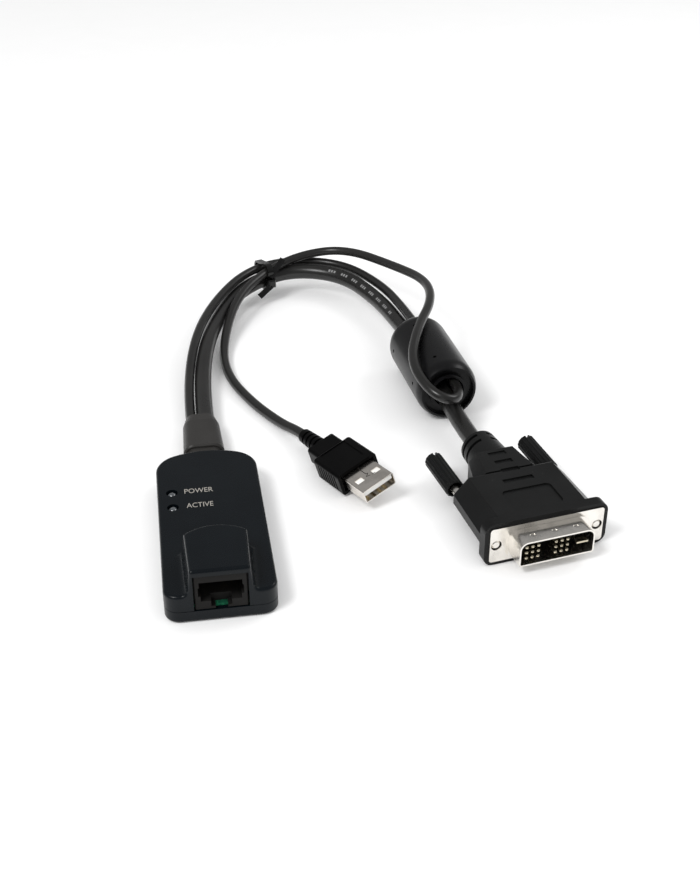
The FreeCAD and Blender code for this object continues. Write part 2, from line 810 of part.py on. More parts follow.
def build_jack_contacts():
    """Eight spring contacts hanging from the jack's roof, one solid each."""
    body = solid_body("rj45_contacts")
    strip = sketch_on(body, "YZ_Plane", "-(7 * ContactPitch + ContactWidth) / 2")
    tip = CONTACT_FRONT + " + ContactReach"
    outline(
        strip,
        (CONTACT_FRONT, ROOF + " - 2 * ContactGauge"),
        (tip, ROOF + " - ContactDrop - ContactGauge"),
        (tip, ROOF + " - ContactDrop"),
        (CONTACT_FRONT + " + ContactBend", ROOF + " - ContactGauge"),
        (CONTACT_FRONT + " + ContactFoot", ROOF + " - ContactGauge"),
        (CONTACT_FRONT + " + ContactFoot", ROOF),
        (CONTACT_FRONT, ROOF),
    )
    first = pad(body, strip, "ContactWidth")
    repeat(body, first, "X_Axis", "7 * ContactPitch", 8)


# ---------------------------------------------------------------- circuit board

def build_circuit_board():
    """Board with cut corners and two holes for the case's posts."""
    body = block(
        "circuit_board", "-BoardWidth / 2", "BoardInset - CaseLength / 2",
        "BoardWidth", "%s + CaseLength / 2 - BoardInset" % BOARD_END, BOARD_BASE, "BoardThickness")
    chamfer(body, "BoardCorner / 2", lambda edge, middle: runs_along(edge, UPWARD))
    holes = sketch_on(body, "XY_Plane", BOARD_BASE)
    for side in ("-", ""):
        circle(holes, side + POST_X, POST_Y, "PostHole / 2")
    pocket(body, holes, "BoardThickness", backwards=True)


def build_processor():
    """Main chip with a bevelled top and a dot for its first leg."""
    body = block(
        "processor_chip", "ProcessorX - ProcessorSize / 2", "ProcessorY - ProcessorSize / 2",
        "ProcessorSize", "ProcessorSize", BOARD_TOP, "ProcessorHeight")
    top = value(BOARD_TOP + " + ProcessorHeight")
    chamfer(body, "ChipBevel", lambda edge, middle: abs(middle.z - top) < 1e-4)
    dot = sketch_on(body, "XY_Plane", BOARD_TOP + " + ProcessorHeight")
    reach = "(ProcessorSize / 2 - 4 * ChipBevel)"
    circle(dot, "ProcessorX - " + reach, "ProcessorY + " + reach, "ChipBevel")
    pocket(body, dot, "ChipBevel / 2")


def build_small_chips():
    """Interface chip, crystal, a row of capacitors and the header for the leads' wires."""
    block(
        "interface_chip", "-(BoardWidth / 2 - BoardCorner)", "InterfaceY", "InterfaceWidth",
        "InterfaceLength", BOARD_TOP, "InterfaceHeight")
    block(
        "crystal", "-(BoardWidth / 2 - BoardCorner)", "CrystalY", "CrystalLength",
        "CrystalWidth", BOARD_TOP, "CrystalHeight")
    row = solid_body("chip_capacitors")
    plan = sketch_on(row, "XY_Plane", BOARD_TOP)
    left = "(ProcessorX - 2.5 * ChipCapPitch)"
    rectangle(
        plan, left + " - ChipCapWidth / 2", "ChipCapY", left + " + ChipCapWidth / 2",
        "ChipCapY + ChipCapLength")
    first = pad(row, plan, "ChipCapWidth")
    repeat(row, first, "X_Axis", "5 * ChipCapPitch", 6)
    front = "(%s - HeaderSetback)" % BOARD_END
    header = block(
        "cable_header", "-HeaderWidth / 2", front, "HeaderWidth", "HeaderLength",
        BOARD_TOP, "HeaderHeight")
    socket = sketch_on(header, "XZ_Plane", "-(%s + HeaderLength)" % front)
    first_x, height = "-3 * PinSocketPitch", BOARD_TOP + " + HeaderHeight / 2"
    half = " PinSocketSize / 2"
    rectangle(socket, first_x + " -" + half, height + " -" + half, first_x + " +" + half, height + " +" + half)
    hole = pocket(header, socket, "HeaderLength / 2", backwards=True)
    repeat(header, hole, "X_Axis", "6 * PinSocketPitch", 7)


def build_lamp(name, along):
    """Round status lamp standing on the board."""
    body = solid_body(name)
    body.setExpression("Placement.Base.x", bound(LAMP_X))
    body.setExpression("Placement.Base.y", bound(along))
    body.setExpression("Placement.Base.z", bound(BOARD_TOP))
    profile = sketch_on(body, "XZ_Plane")
    outline(
        profile,
        ("0", "0"), ("LampFlange / 2", "0"), ("LampFlange / 2", "LampFlangeHeight"),
        ("LampDiameter / 2", "LampFlangeHeight"), ("LampDiameter / 2", "LampHeight - LampDiameter / 2"),
        ("0", "LampHeight", "LampDiameter / 2"))
    revolve(body, profile, "Z_Axis")


# ---------------------------------------------------------------- cable boot

def build_cable_boot():
    """Moulded boot: inner flange, neck through the rear wall and a tapering barrel."""
    body = solid_body("cable_boot")
    rear = "(CaseLength / 2 - CaseWall - FlangeSetback)"
    flange = sketch_on(body, "XZ_Plane", "-(%s - FlangeThickness)" % rear)
    rectangle(
        flange, "-FlangeWide", "BootAxisHeight - FlangeHigh", "FlangeWide", "BootAxisHeight + FlangeHigh")
    pad(body, flange, "FlangeThickness", backwards=True)
    neck = sketch_on(body, "XZ_Plane", "-" + rear)
    oval(neck, "NeckHalfWide", "NeckHalfHigh", "BootAxisHeight")
    pad(body, neck, "BootStart - " + rear, backwards=True)
    sections = []
    for place, wide, high in (
            ("BootStart", "BootHalfWide", "BootHalfHigh"), ("BootShoulder", "BootMidWide", "BootMidHigh"),
            ("BootEnd", "BootTipWide", "BootTipHigh")):
        section = sketch_on(body, "XZ_Plane", "-" + place)
        oval(section, wide, high, "BootAxisHeight")
        sections.append(section)
    loft(body, *sections)
    front = value("BootStart")
    chamfer(body, "BootBevel", lambda edge, middle: (
        abs(middle.y - front) < 1e-4 and edge.BoundBox.ZLength > 0 and is_far_from_boot_axis(middle)))


def is_far_from_boot_axis(point):
    """Whether a point at the barrel's front lies outside the neck."""
    return abs(point.x) > value("NeckHalfWide + SeamGap") or (
        abs(point.z - value("BootAxisHeight")) > value("NeckHalfHigh + SeamGap"))


# ---------------------------------------------------------------- ferrite

CREST_OUTER = "(SleeveDiameter / 2 - SleeveCrown)"
CREST_INNER = "(%s - SleeveRimWidth)" % CREST_OUTER
SLEEVE_END = "(SleeveLength / 2)"
SLEEVE_SIDE = "(SleeveLength / 2 - SleeveRound)"
COLLAR = "(SleeveBore / 2 + SleeveCollar)"
COLLAR_END = "(SleeveLength / 2 - SleeveLip)"
DISH = "(SleeveLength / 2 - SleeveDish)"


def build_ferrite_cover():
    """Moulded cover of the ferrite: crowned ends, dished faces, collar, cavity and pin holes."""
    turned = Placement(Vector(), Rotation(Vector(0, 1, 0), -SIZES["MouldPinAngle"]))
    body = solid_body("ferrite_cover", SLEEVE_PLACE * turned)
    profile = sketch_on(body, "XY_Plane")
    outline(
        profile,
        ("SleeveBore / 2", "-" + COLLAR_END), (COLLAR, "-" + COLLAR_END), (COLLAR, "-" + DISH),
        (CREST_INNER, "-" + DISH), (CREST_INNER, "-" + SLEEVE_END), (CREST_OUTER, "-" + SLEEVE_END),
        ("SleeveDiameter / 2", "-" + SLEEVE_SIDE, "SleeveArc"), ("SleeveDiameter / 2", SLEEVE_SIDE),
        (CREST_OUTER, SLEEVE_END, "SleeveArc"), (CREST_INNER, SLEEVE_END), (CREST_INNER, DISH),
        (COLLAR, DISH), (COLLAR, COLLAR_END), ("SleeveBore / 2", COLLAR_END))
    revolve(body, profile, "Y_Axis")
    cavity = sketch_on(body, "XY_Plane")
    rectangle(
        cavity, "CoreInner / 2 - CoreGap", "-(CoreLength / 2 + CoreGap)",
        "CoreOuter / 2 + CoreGap", "CoreLength / 2 + CoreGap")
    groove(body, cavity, "Y_Axis", 360)
    pins = sketch_on(body, "YZ_Plane", "SleeveDiameter / 2")
    circle(pins, "-MouldPinSpread", "0", "MouldPinHole / 2")
    circle(pins, "MouldPinSpread", "0", "MouldPinHole / 2")
    pair = pocket(body, pins, "(SleeveDiameter - CoreOuter) / 2")
    ring_of(body, pair, "Y_Axis", SIZES["MouldPinStep"], "2", backwards=True)


def build_ferrite_core():
    """Ferrite tube inside the cover."""
    body = solid_body("ferrite_core", SLEEVE_PLACE)
    ring = sketch_on(body, "XZ_Plane", "-CoreLength / 2")
    circle(ring, "0", "0", "CoreOuter / 2")
    circle(ring, "0", "0", "CoreInner / 2")
    pad(body, ring, "CoreLength")


# ---------------------------------------------------------------- video plug

def shell_profile(sketch, inset="0"):
    """Section of the video plug's metal shell, its lower corners the tighter ones."""
    wide, high = "(ShellWide / 2 - %s)" % inset, "(ShellHigh / 2 - %s)" % inset
    rounded(
        sketch, "-" + wide, "-" + high, wide, high,
        "(ShellFootRound - %s)" % inset, "(ShellTopRound - %s)" % inset)


def screw_holes(sketch, diameter):
    """The two holes beside the shell."""
    for side in ("-", ""):
        circle(sketch, side + "ScrewSpacing / 2", "0", diameter + " / 2")


def build_video_hood():
    """Hood of the video plug: rim, bevelled body and neck, with finger grips and screw bores."""
    body = solid_body("dvi_hood", VIDEO_PLUG_PLACE)
    rim = sketch_on(body, "XZ_Plane", "-PlateSeat")
    rounded(rim, "-RimWidth / 2", "-RimHeight / 2", "RimWidth / 2", "RimHeight / 2", "RimCorner", "RimCorner")
    pad(body, rim, "RimDepth - PlateSeat", backwards=True)
    sections = []
    for place, wide in (("RimDepth", "PlugBodyWide"), ("PlugBodyEnd", "PlugBodyTail")):
        section = sketch_on(body, "XZ_Plane", "-" + place)
        bevelled(section, wide, "PlugBodyHigh", "PlugTopWide", "PlugBevel")
        sections.append(section)
    loft(body, *sections)
    tail = value("PlugBodyEnd")
    fillet(body, "PlugTailRound", lambda edge, middle: abs(middle.y - tail) < 1e-4)
    necks = []
    for place, wide, high, top in (
            ("PlugBodyEnd", "PlugNeckRootWide", "PlugBodyHigh", "PlugNeckTopWide"),
            ("PlugNeckEnd", "PlugNeckTailWide", "PlugNeckTailHigh", "PlugNeckTailTop")):
        section = sketch_on(body, "XZ_Plane", "-" + place)
        bevelled(section, wide, high, top, "PlugNeckBevel")
        necks.append(section)
    loft(body, *necks)

    panel = sketch_on(body, "XY_Plane", "PlugBodyHigh / 2")
    rounded(
        panel, "-PanelWide / 2", "PanelStart", "PanelWide / 2", "PanelEnd", "PanelCorner", "PanelCorner")
    pocket(body, panel, "PanelDepth")
    grip = sketch_on(body, "XY_Plane", "PlugBodyHigh / 2")
    rectangle(grip, "-GripWide / 2", "GripStart", "GripWide / 2", "GripStart + GripLength")
    pocket(body, grip, "GripDepth")
    slot = sketch_on(body, "XY_Plane", "PlugBodyHigh / 2")
    first = "GripStart + GripShift"
    rectangle(slot, "-GripNarrow / 2", first, "GripNarrow / 2", first + " + GripLength")
    narrow = pocket(body, slot, "GripDepth")
    repeat(body, narrow, "Y_Axis", "2 * GripPitch", 3)

    seat = sketch_on(body, "XZ_Plane", "-PlateSeat")
    rectangle(seat, "-PlateWidth / 2", "-PlateHeight / 2", "PlateWidth / 2", "PlateHeight / 2")
    pocket(body, seat, "PlateThickness - PlateSeat")
    well = sketch_on(body, "XZ_Plane", "-PlateSeat")
    shell_profile(well, "ShellGauge")
    pocket(body, well, "InsulatorDepth - InsulatorFace - PlateSeat")
    bores = sketch_on(body, "XZ_Plane", "-PlateSeat")
    screw_holes(bores, "(JackscrewDiameter + 2 * JackscrewRunning)")
    pocket(body, bores, "PlugBodyEnd")


def build_video_relief():
    """Tapered strain relief behind the neck, slit from both sides to a spine."""
    lowered = Placement(Vector(SIZES["ReliefShift"], SIZES["PlugNeckEnd"], -SIZES["ReliefDrop"]), Rotation())
    body = solid_body("dvi_relief", VIDEO_PLUG_PLACE * lowered)
    profile = sketch_on(body, "XY_Plane")
    length = "(ReliefEnd - PlugNeckEnd)"
    outline(
        profile, ("0", "0"), ("ReliefRadius", "0"), ("ReliefTip", length + " - ReliefBevel"),
        ("ReliefTip - ReliefBevel", length), ("0", length))
    revolve(body, profile, "Y_Axis")
    slit = sketch_on(body, "XY_Plane")
    for start in ("ReliefSlitStart", "(ReliefSlitStart + ReliefSlitPitch)"):
        rectangle(slit, "ReliefTip - ReliefSlitDepth", start, "2 * ReliefRadius", start + " + ReliefSlit")
    cut = groove(body, slit, "Y_Axis", 150)
    mirror(body, "YZ_Plane", cut)


def build_video_shell():
    """Metal front of the video plug: plate and D-shaped shell in one."""
    body = solid_body("dvi_shell", VIDEO_PLUG_PLACE)
    plate = sketch_on(body, "XZ_Plane")
    rounded(
        plate, "-PlateWidth / 2", "-PlateHeight / 2", "PlateWidth / 2", "PlateHeight / 2",
        "PlateCorner", "PlateCorner")
    pad(body, plate, "PlateThickness", backwards=True)
    wall = sketch_on(body, "XZ_Plane")
    shell_profile(wall)
    pad(body, wall, "ShellReach")
    collar = sketch_on(body, "XZ_Plane")
    shell_profile(collar, "(0 - ShellCollar)")
    pad(body, collar, "ShellCollarReach")
    root = sketch_on(body, "XZ_Plane", "ShellReach")
    shell_profile(root, "ShellGauge")
    pocket(body, root, "ShellReach + PlateThickness")
    holes = sketch_on(body, "XZ_Plane")
    screw_holes(holes, "PlateHole")
    pocket(body, holes, "PlateThickness")
    dimple = sketch_on(body, "XY_Plane", "ShellHigh / 2")
    circle(dimple, "DimpleShift - DimplePitch", "-DimpleSetback", "DimpleRadius")
    dent = pocket(body, dimple, "ShellGauge / 2")
    repeat(body, dent, "X_Axis", "2 * DimplePitch", 3)


def build_video_insulator():
    """Moulded block that fills the shell's root and holds the pins."""
    body = solid_body("dvi_insulator", VIDEO_PLUG_PLACE)
    face = sketch_on(body, "XZ_Plane", "InsulatorFace")
    shell_profile(face, "ShellGauge")
    pad(body, face, "InsulatorDepth", backwards=True)


def build_video_pins():
    """Eighteen pins in two groups of nine and the flat blade, one solid each."""
    body = solid_body("dvi_pins", VIDEO_PLUG_PLACE)
    length = "PinReach - InsulatorFace"
    group = sketch_on(body, "XZ_Plane", "InsulatorFace")
    for column in ("3.5", "2.5", "1.5"):
        for row in ("-1", "0", "1"):
            circle(group, "PinFieldShift - %s * PinPitch" % column, row + " * PinPitch", "PinDiameter / 2")
    first = pad(body, group, length)
    repeat(body, first, "X_Axis", "5 * PinPitch", 2)
    tip = -value("PinReach")
    chamfer(body, "PinTipChamfer", lambda edge, middle: abs(middle.y - tip) < 1e-4)
    blade = sketch_on(body, "XZ_Plane", "InsulatorFace")
    rectangle(
        blade, "BladeX - BladeWidth / 2", "-BladeThickness / 2",
        "BladeX + BladeWidth / 2", "BladeThickness / 2")
    pad(body, blade, length)


# ---------------------------------------------------------------- jackscrews

def screw_place(side):
    """Placement on one screw's axis: side is -1 for the left screw and 1 for the right one."""
    return VIDEO_PLUG_PLACE * Placement(Vector(side * SIZES["ScrewSpacing"] / 2, 0, 0), Rotation())


def build_jackscrew(name, side):
    """Screw shank with a bevelled tip just behind the plate's front."""
    body = solid_body(name, screw_place(side))
    profile = sketch_on(body, "XY_Plane")
    radius, bevel = "(JackscrewDiameter / 2)", "JackscrewBevel"
    outline(
        profile, ("0", "JackscrewSetback"), (radius + " - " + bevel, "JackscrewSetback"),
        (radius, "JackscrewSetback + " + bevel), (radius, "KnobStart + KnobBore"),
        ("0", "KnobStart + KnobBore"))
    revolve(body, profile, "Y_Axis")


def build_knob(name, side):
    """Fluted thumb knob on a screw's rear end, with a driver slot."""
    body = solid_body(name, screw_place(side))
    disc = sketch_on(body, "XZ_Plane", "-KnobStart")
    circle(disc, "0", "0", "KnobDiameter / 2")
    pad(body, disc, "KnobLength", backwards=True)
    chamfer(body, "KnobBevel", lambda edge, middle: isinstance(edge.Curve, Part.Circle))
    flute = sketch_on(body, "XZ_Plane", "-KnobStart")
    circle(flute, "0", "KnobDiameter / 2 + FluteRadius / 4", "FluteRadius")
    groove_cut = pocket(body, flute, "KnobLength")
    ring_of(body, groove_cut, "Y_Axis", 360, "KnobFlutes")
    bore = sketch_on(body, "XZ_Plane", "-KnobStart")
    circle(bore, "0", "0", "JackscrewDiameter / 2 + JackscrewRunning")
    pocket(body, bore, "KnobBore")
    skirt = sketch_on(body, "XZ_Plane", "-KnobStart")
    circle(skirt, "0", "0", "KnobRecessDiameter / 2")
    pocket(body, skirt, "KnobRecess")
    slot = sketch_on(body, "XZ_Plane", "-(KnobStart + KnobLength)")
    rectangle(slot, "-DriverSlotWidth / 2", "-KnobDiameter", "DriverSlotWidth / 2", "KnobDiameter")
    pocket(body, slot, "DriverSlotDepth", backwards=True)


# ---------------------------------------------------------------- USB plug

def usb_section(sketch, inset="0"):
    """Section of the USB shell, less an inset all round."""
    wide, high = "(UsbWidth / 2 - %s)" % inset, "(UsbHeight / 2 - %s)" % inset
    corner = "(UsbCornerRound - %s)" % inset
    rounded(sketch, "-" + wide, "-" + high, wide, high, corner, corner)


def build_usb_shell():
    """Metal USB shell with latch windows above and below."""
    body = solid_body("usb_shell", USB_PLUG_PLACE)
    outer = sketch_on(body, "XZ_Plane")
    usb_section(outer)
    pad(body, outer, "UsbReach + UsbSeat", backwards=True)
    inner = sketch_on(body, "XZ_Plane")
    usb_section(inner, "UsbGauge")
    pocket(body, inner, "UsbReach + UsbSeat")
    windows = sketch_on(body, "XY_Plane", "UsbHeight / 2")
    for side in ("-", ""):
        middle = "%sWindowSpread / 2" % side
        rectangle(
            windows, middle + " - WindowSize / 2", "WindowSetback - WindowLength / 2",
            middle + " + WindowSize / 2", "WindowSetback + WindowLength / 2")
    pocket(body, windows, "UsbHeight")


def build_usb_insulator():
    """White tongue in the upper half of the shell and the block behind it."""
    body = solid_body("usb_insulator", USB_PLUG_PLACE)
    block_front = "(UsbReach - UsbSeat)"
    rear = sketch_on(body, "XZ_Plane", "-" + block_front)
    usb_section(rear, "UsbGauge")
    pad(body, rear, "2 * UsbSeat", backwards=True)
    tongue = sketch_on(body, "XZ_Plane", "-TongueInset")
    roof = "(UsbHeight / 2 - UsbGauge)"
    half = "(UsbWidth / 2 - UsbCornerRound)"
    rectangle(tongue, "-" + half, roof + " - TongueThickness", half, roof)
    pad(body, tongue, block_front + " - TongueInset", backwards=True)


def build_usb_contacts():
    """Four contact strips under the tongue, one solid each."""
    body = solid_body("usb_contacts", USB_PLUG_PLACE)
    strip = sketch_on(body, "XY_Plane", "UsbHeight / 2 - UsbGauge - TongueThickness - UsbContactGauge")
    left = "-1.5 * UsbContactPitch"
    rear = "(UsbReach - UsbSeat)"
    rectangle(
        strip, left + " - UsbContactWidth / 2", rear + " - UsbContactLength",
        left + " + UsbContactWidth / 2", rear)
    first = pad(body, strip, "UsbContactGauge")
    repeat(body, first, "X_Axis", "3 * UsbContactPitch", 4)


def build_usb_hood():
    """Hood of the USB plug: rimmed front, ribbed sides, sunk panel and neck."""
    body = solid_body("usb_hood", USB_PLUG_PLACE)
    low, high = "-(UsbBodyHigh / 2 + UsbBodyLow)", "(UsbBodyHigh / 2 - UsbBodyLow)"
    face = sketch_on(body, "XZ_Plane", "-UsbReach")
    rectangle(face, "-UsbBodyWide / 2", low, "UsbBodyWide / 2", high)
    pad(body, face, "UsbBodyEnd - UsbReach", backwards=True)
    tail = value("UsbBodyEnd")
    fillet(body, "UsbBodyCorner", lambda edge, middle: runs_along(edge, ALONG) or abs(middle.y - tail) < 1e-4)
    recess = sketch_on(body, "XZ_Plane", "-UsbReach")
    wall = "UsbRecessWall"
    rectangle(
        recess, "-(UsbBodyWide / 2 - %s)" % wall, "%s + %s" % (low, wall),
        "UsbBodyWide / 2 - " + wall, "%s - %s" % (high, wall))
    pocket(body, recess, "UsbRecessDepth")
    well = sketch_on(body, "XZ_Plane", "-UsbReach")
    usb_section(well)
    pocket(body, well, "UsbSeat")

    neck = sketch_on(body, "XZ_Plane", "-UsbBodyEnd")
    half = "UsbNeckHigh / 2"
    rounded(
        neck, "-UsbNeckWide / 2", "-" + half, "UsbNeckWide / 2", half, "UsbBodyCorner", "UsbBodyCorner")
    pad(body, neck, "UsbNeckEnd - UsbBodyEnd", backwards=True)

    panel = sketch_on(body, "XY_Plane", high)
    rectangle(panel, "-UsbPanelWide / 2", "UsbPanelStart", "UsbPanelWide / 2", "UsbPanelEnd")
    pocket(body, panel, "UsbPanelDepth")
    rib = sketch_on(body, "YZ_Plane", "UsbBodyWide / 2")
    start = "UsbPanelStart"
    rectangle(
        rib, start, "%s + UsbBodyCorner" % low, start + " + UsbRibPitch / 2", high + " - UsbBodyCorner")
    slot = pocket(body, rib, "UsbRibDepth")
    repeat(body, slot, "Y_Axis", "6 * UsbRibPitch", 7)
    other = sketch_on(body, "YZ_Plane", "-UsbBodyWide / 2")
    rectangle(
        other, start, "%s + UsbBodyCorner" % low, start + " + UsbRibPitch / 2", high + " - UsbBodyCorner")
    far_slot = pocket(body, other, "UsbRibDepth", backwards=True)
    repeat(body, far_slot, "Y_Axis", "6 * UsbRibPitch", 7)


def build_usb_relief():
    """Tapered strain relief with ring grooves."""
    body = solid_body("usb_relief", USB_PLUG_PLACE)
    profile = sketch_on(body, "XY_Plane")
    outline(
        profile, ("0", "UsbNeckEnd"), ("UsbReliefRadius", "UsbNeckEnd"),
        ("UsbReliefTip", "UsbReliefEnd"), ("0", "UsbReliefEnd"))
    revolve(body, profile, "Y_Axis")
    ring = sketch_on(body, "XY_Plane")
    start = "UsbNeckEnd + UsbReliefGroove"
    rectangle(
        ring, "UsbReliefTip - UsbReliefRing", start, "2 * UsbReliefRadius", start + " + UsbReliefGroove")
    cut = groove(body, ring, "Y_Axis", 360)
    repeat(body, cut, "Y_Axis", "3 * UsbReliefPitch", 4)


# ---------------------------------------------------------------- leads

def lead_route(name, corners):
    """Straight runs joined by tangent arcs; prints each arc's radius."""
    points = [Vector(*corner) for corner in corners]
    edges = []
    begin = points[0]
    radii = []
    for before, corner, after in zip(points, points[1:], points[2:]):
        arriving, leaving = corner - before, after - corner
        half_turn = arriving.getAngle(leaving) / 2
        reach = value("LeadCornerShare") * min(arriving.Length, leaving.Length)
        radius = reach / math.tan(half_turn)
        arriving.normalize()
        leaving.normalize()
        start, end = corner - arriving * reach, corner + leaving * reach
        inward = (leaving - arriving).normalize()
        middle = corner + inward * (radius / math.cos(half_turn) - radius)
        edges.append(Part.LineSegment(begin, start).toShape())
        edges.append(Part.Arc(start, middle, end).toShape())
        begin = end
        radii.append(radius)
    edges.append(Part.LineSegment(begin, points[-1]).toShape())
    print("%s arc radii: %s" % (name, ", ".join("%.1f" % radius for radius in radii)))
    route = doc.addObject("Part::Feature", name + "_route")
    route.Shape = Part.Wire(edges)
    return route


def build_lead(name, corners, diameter):
    """Round cord along a route; prints its length and compares its volume with section x length."""
    route = lead_route(name, corners)
    section = doc.addObject("Part::Circle", name + "_section")
    section.setExpression("Radius", bound(diameter + " / 2"))
    heading = Vector(*corners[1]) - Vector(*corners[0])
    section.Placement = Placement(Vector(*corners[0]), Rotation(UPWARD, heading))
    lead = node("Part::Sweep", name)
    lead.Sections = [section]
    lead.Spine = (route, [])
    lead.Solid = True
    doc.recompute()
    length = route.Shape.Length
    expected = math.pi * value(diameter + " / 2") ** 2 * length
    print("%s length %.1f mm, volume %.4f of section x length" % (name, length, lead.Shape.Volume / expected))
    if abs(lead.Shape.Volume / expected - 1) > 0.01:
        raise ValueError("%s does not fill its route" % name)


# ---------------------------------------------------------------- cable tie

def strap_outline(sketch, margin):
    """Outline of a band pulled round the tied strands, at a margin from them."""
    strands = [(Vector(across, upward, 0), radius + value(margin)) for across, upward, radius in TIED_STRANDS]
    normals = []
    for (centre, radius), (other, other_radius) in zip(strands, strands[1:] + strands[:1]):
        along = other - centre
        lean = (radius - other_radius) / along.Length
        along.normalize()
        normals.append(along * lean + Vector(along.y, -along.x, 0) * math.sqrt(1 - lean * lean))
    corners = []
    for index, (centre, radius) in enumerate(strands):
        arrival, leaving = centre + normals[index - 1] * radius, centre + normals[index] * radius
        corners.append(("%.5f" % arrival.x, "%.5f" % arrival.y))
        corners.append(("%.5f" % leaving.x, "%.5f" % leaving.y, "%.5f" % radius))
    outline(sketch, *corners)


def add_free_end(body, start_and_ways, length):
    """Flat end of the tie with a raised ridge along each side."""
    start, along, facing = start_and_ways
    turn = Rotation(along.cross(facing), along, facing, "YZX")
    flat = sketch_on(body, "XY_Plane")
    flat.AttachmentOffset = Placement(start, turn)
    rectangle(flat, "-TieWidth / 2", "0", "TieWidth / 2", length)
    pad(body, flat, "TieThickness")
    ridges = sketch_on(body, "XY_Plane")
    ridges.AttachmentOffset = Placement(start + facing * SIZES["TieThickness"], turn)
    rectangle(ridges, "-TieWidth / 2", "0", "TieRidgeWide - TieWidth / 2", length)
    rectangle(ridges, "TieWidth / 2 - TieRidgeWide", "0", "TieWidth / 2", length)
    pad(body, ridges, "TieRidgeHigh")


def build_cable_tie():
    """Strap round the three strands, its head and its two free ends."""
    body = solid_body("cable_tie", TIE_PLACE)
    head = sketch_on(body, "XZ_Plane", "-TieHeadWidth / 2")
    left, low = "(TieHeadX - TieHeadDepth / 2)", "(TieHeadZ - TieHeadHeight / 2)"
    rectangle(head, left, low, left + " + TieHeadDepth", low + " + TieHeadHeight")
    pad(body, head, "TieHeadWidth")
    chamfer(body, "TieHeadBevel", lambda edge, middle: middle.x > value("TieHeadX") + 0.1)
    add_free_end(body, TIE_FLAG, "TieFlagLength")
    add_free_end(body, TIE_TAIL, "TieTailLength")
    strap = sketch_on(body, "XZ_Plane", "-TieWidth / 2")
    strap_outline(strap, "TieClearance + TieThickness")
    pad(body, strap, "TieWidth")
    hollow = sketch_on(body, "XZ_Plane", "-TieHeadWidth")
    strap_outline(hollow, "TieClearance")
    pocket(body, hollow, "2 * TieHeadWidth", backwards=True)


# ---------------------------------------------------------------- build and write

def check_objects():
    """Stop at any object that failed to recompute or has no valid shape."""
    doc.recompute()
    for item in doc.Objects:
        if "Invalid" in item.State or "Error" in item.State:
            raise ValueError("%s did not recompute: %s" % (item.Name, item.State))
    for made in nodes:
        if made.Shape.isNull() or not made.Shape.isValid():
            raise ValueError("%s has no valid shape" % made.Label)


def write_parts():
    """One STEP file per node."""
    os.makedirs("parts", exist_ok=True)
    for made in nodes:
        made.Shape.exportStep("parts/%s.step" % made.Label)
    print("%d nodes written" % len(nodes))


build_upper_case()
build_lower_case()
build_case_screws()
build_network_jack()
build_jack_contacts()
build_circuit_board()
build_processor()
build_small_chips()
build_lamp("power_led", POWER_LAMP_Y)
build_lamp("active_led", POWER_LAMP_Y + " - LampPitch")
build_cable_boot()
build_ferrite_cover()
build_ferrite_core()
build_video_hood()
build_video_relief()
build_video_shell()
build_video_insulator()
build_video_pins()
for side_name, side_sign in (("left", -1), ("right", 1)):
    build_jackscrew("dvi_screw_" + side_name, side_sign)
    build_knob("dvi_knob_" + side_name, side_sign)
build_usb_shell()
build_usb_insulator()
build_usb_contacts()
build_usb_hood()
build_usb_relief()
build_lead("video_lead", VIDEO_LEAD_CORNERS, "VideoLeadDiameter")
build_lead("usb_lead", USB_LEAD_CORNERS, "UsbLeadDiameter")
build_cable_tie()
check_objects()
write_parts()
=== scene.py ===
"""Dressed model of a KVM dongle.

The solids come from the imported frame. This script gives every one its finish and adds what
they lack: the two leads' smooth jackets, the lamp legends, printing and seams.
All lengths are metres, in the frame of the model: the origin is the middle of the case's
underside, +Y runs from the network port to the cable boot and +Z is up.
"""
from __future__ import annotations

import logging
import math
from collections.abc import Sequence
from dataclasses import dataclass, field
from enum import Enum
from typing import Any

import bmesh
import bpy
from mathutils import Matrix, Vector


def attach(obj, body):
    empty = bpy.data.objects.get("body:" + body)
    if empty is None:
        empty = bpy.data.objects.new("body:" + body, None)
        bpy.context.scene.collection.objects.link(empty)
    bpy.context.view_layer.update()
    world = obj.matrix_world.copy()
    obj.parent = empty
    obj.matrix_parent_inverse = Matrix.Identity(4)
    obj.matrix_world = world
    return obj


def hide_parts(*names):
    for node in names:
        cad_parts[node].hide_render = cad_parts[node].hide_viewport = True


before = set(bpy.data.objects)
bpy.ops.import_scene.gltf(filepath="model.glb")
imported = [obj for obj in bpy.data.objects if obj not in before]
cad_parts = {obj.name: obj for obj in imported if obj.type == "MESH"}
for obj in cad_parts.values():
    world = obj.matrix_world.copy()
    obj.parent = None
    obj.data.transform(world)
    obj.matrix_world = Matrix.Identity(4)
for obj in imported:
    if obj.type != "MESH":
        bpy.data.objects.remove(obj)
LOG = logging.getLogger("kvm_dongle")

Colour = tuple[float, float, float]
Point = tuple[float, float, float]
ROOT_BODY = "dongle"
MM = 0.001
WHITE = 1.0


# ---------------------------------------------------------------- shader maths

# Numbers of the Mix node's sockets when it mixes colours.
MIX_FACTOR, MIX_COLOUR_A, MIX_COLOUR_B, MIX_COLOUR_RESULT = 0, 6, 7, 2


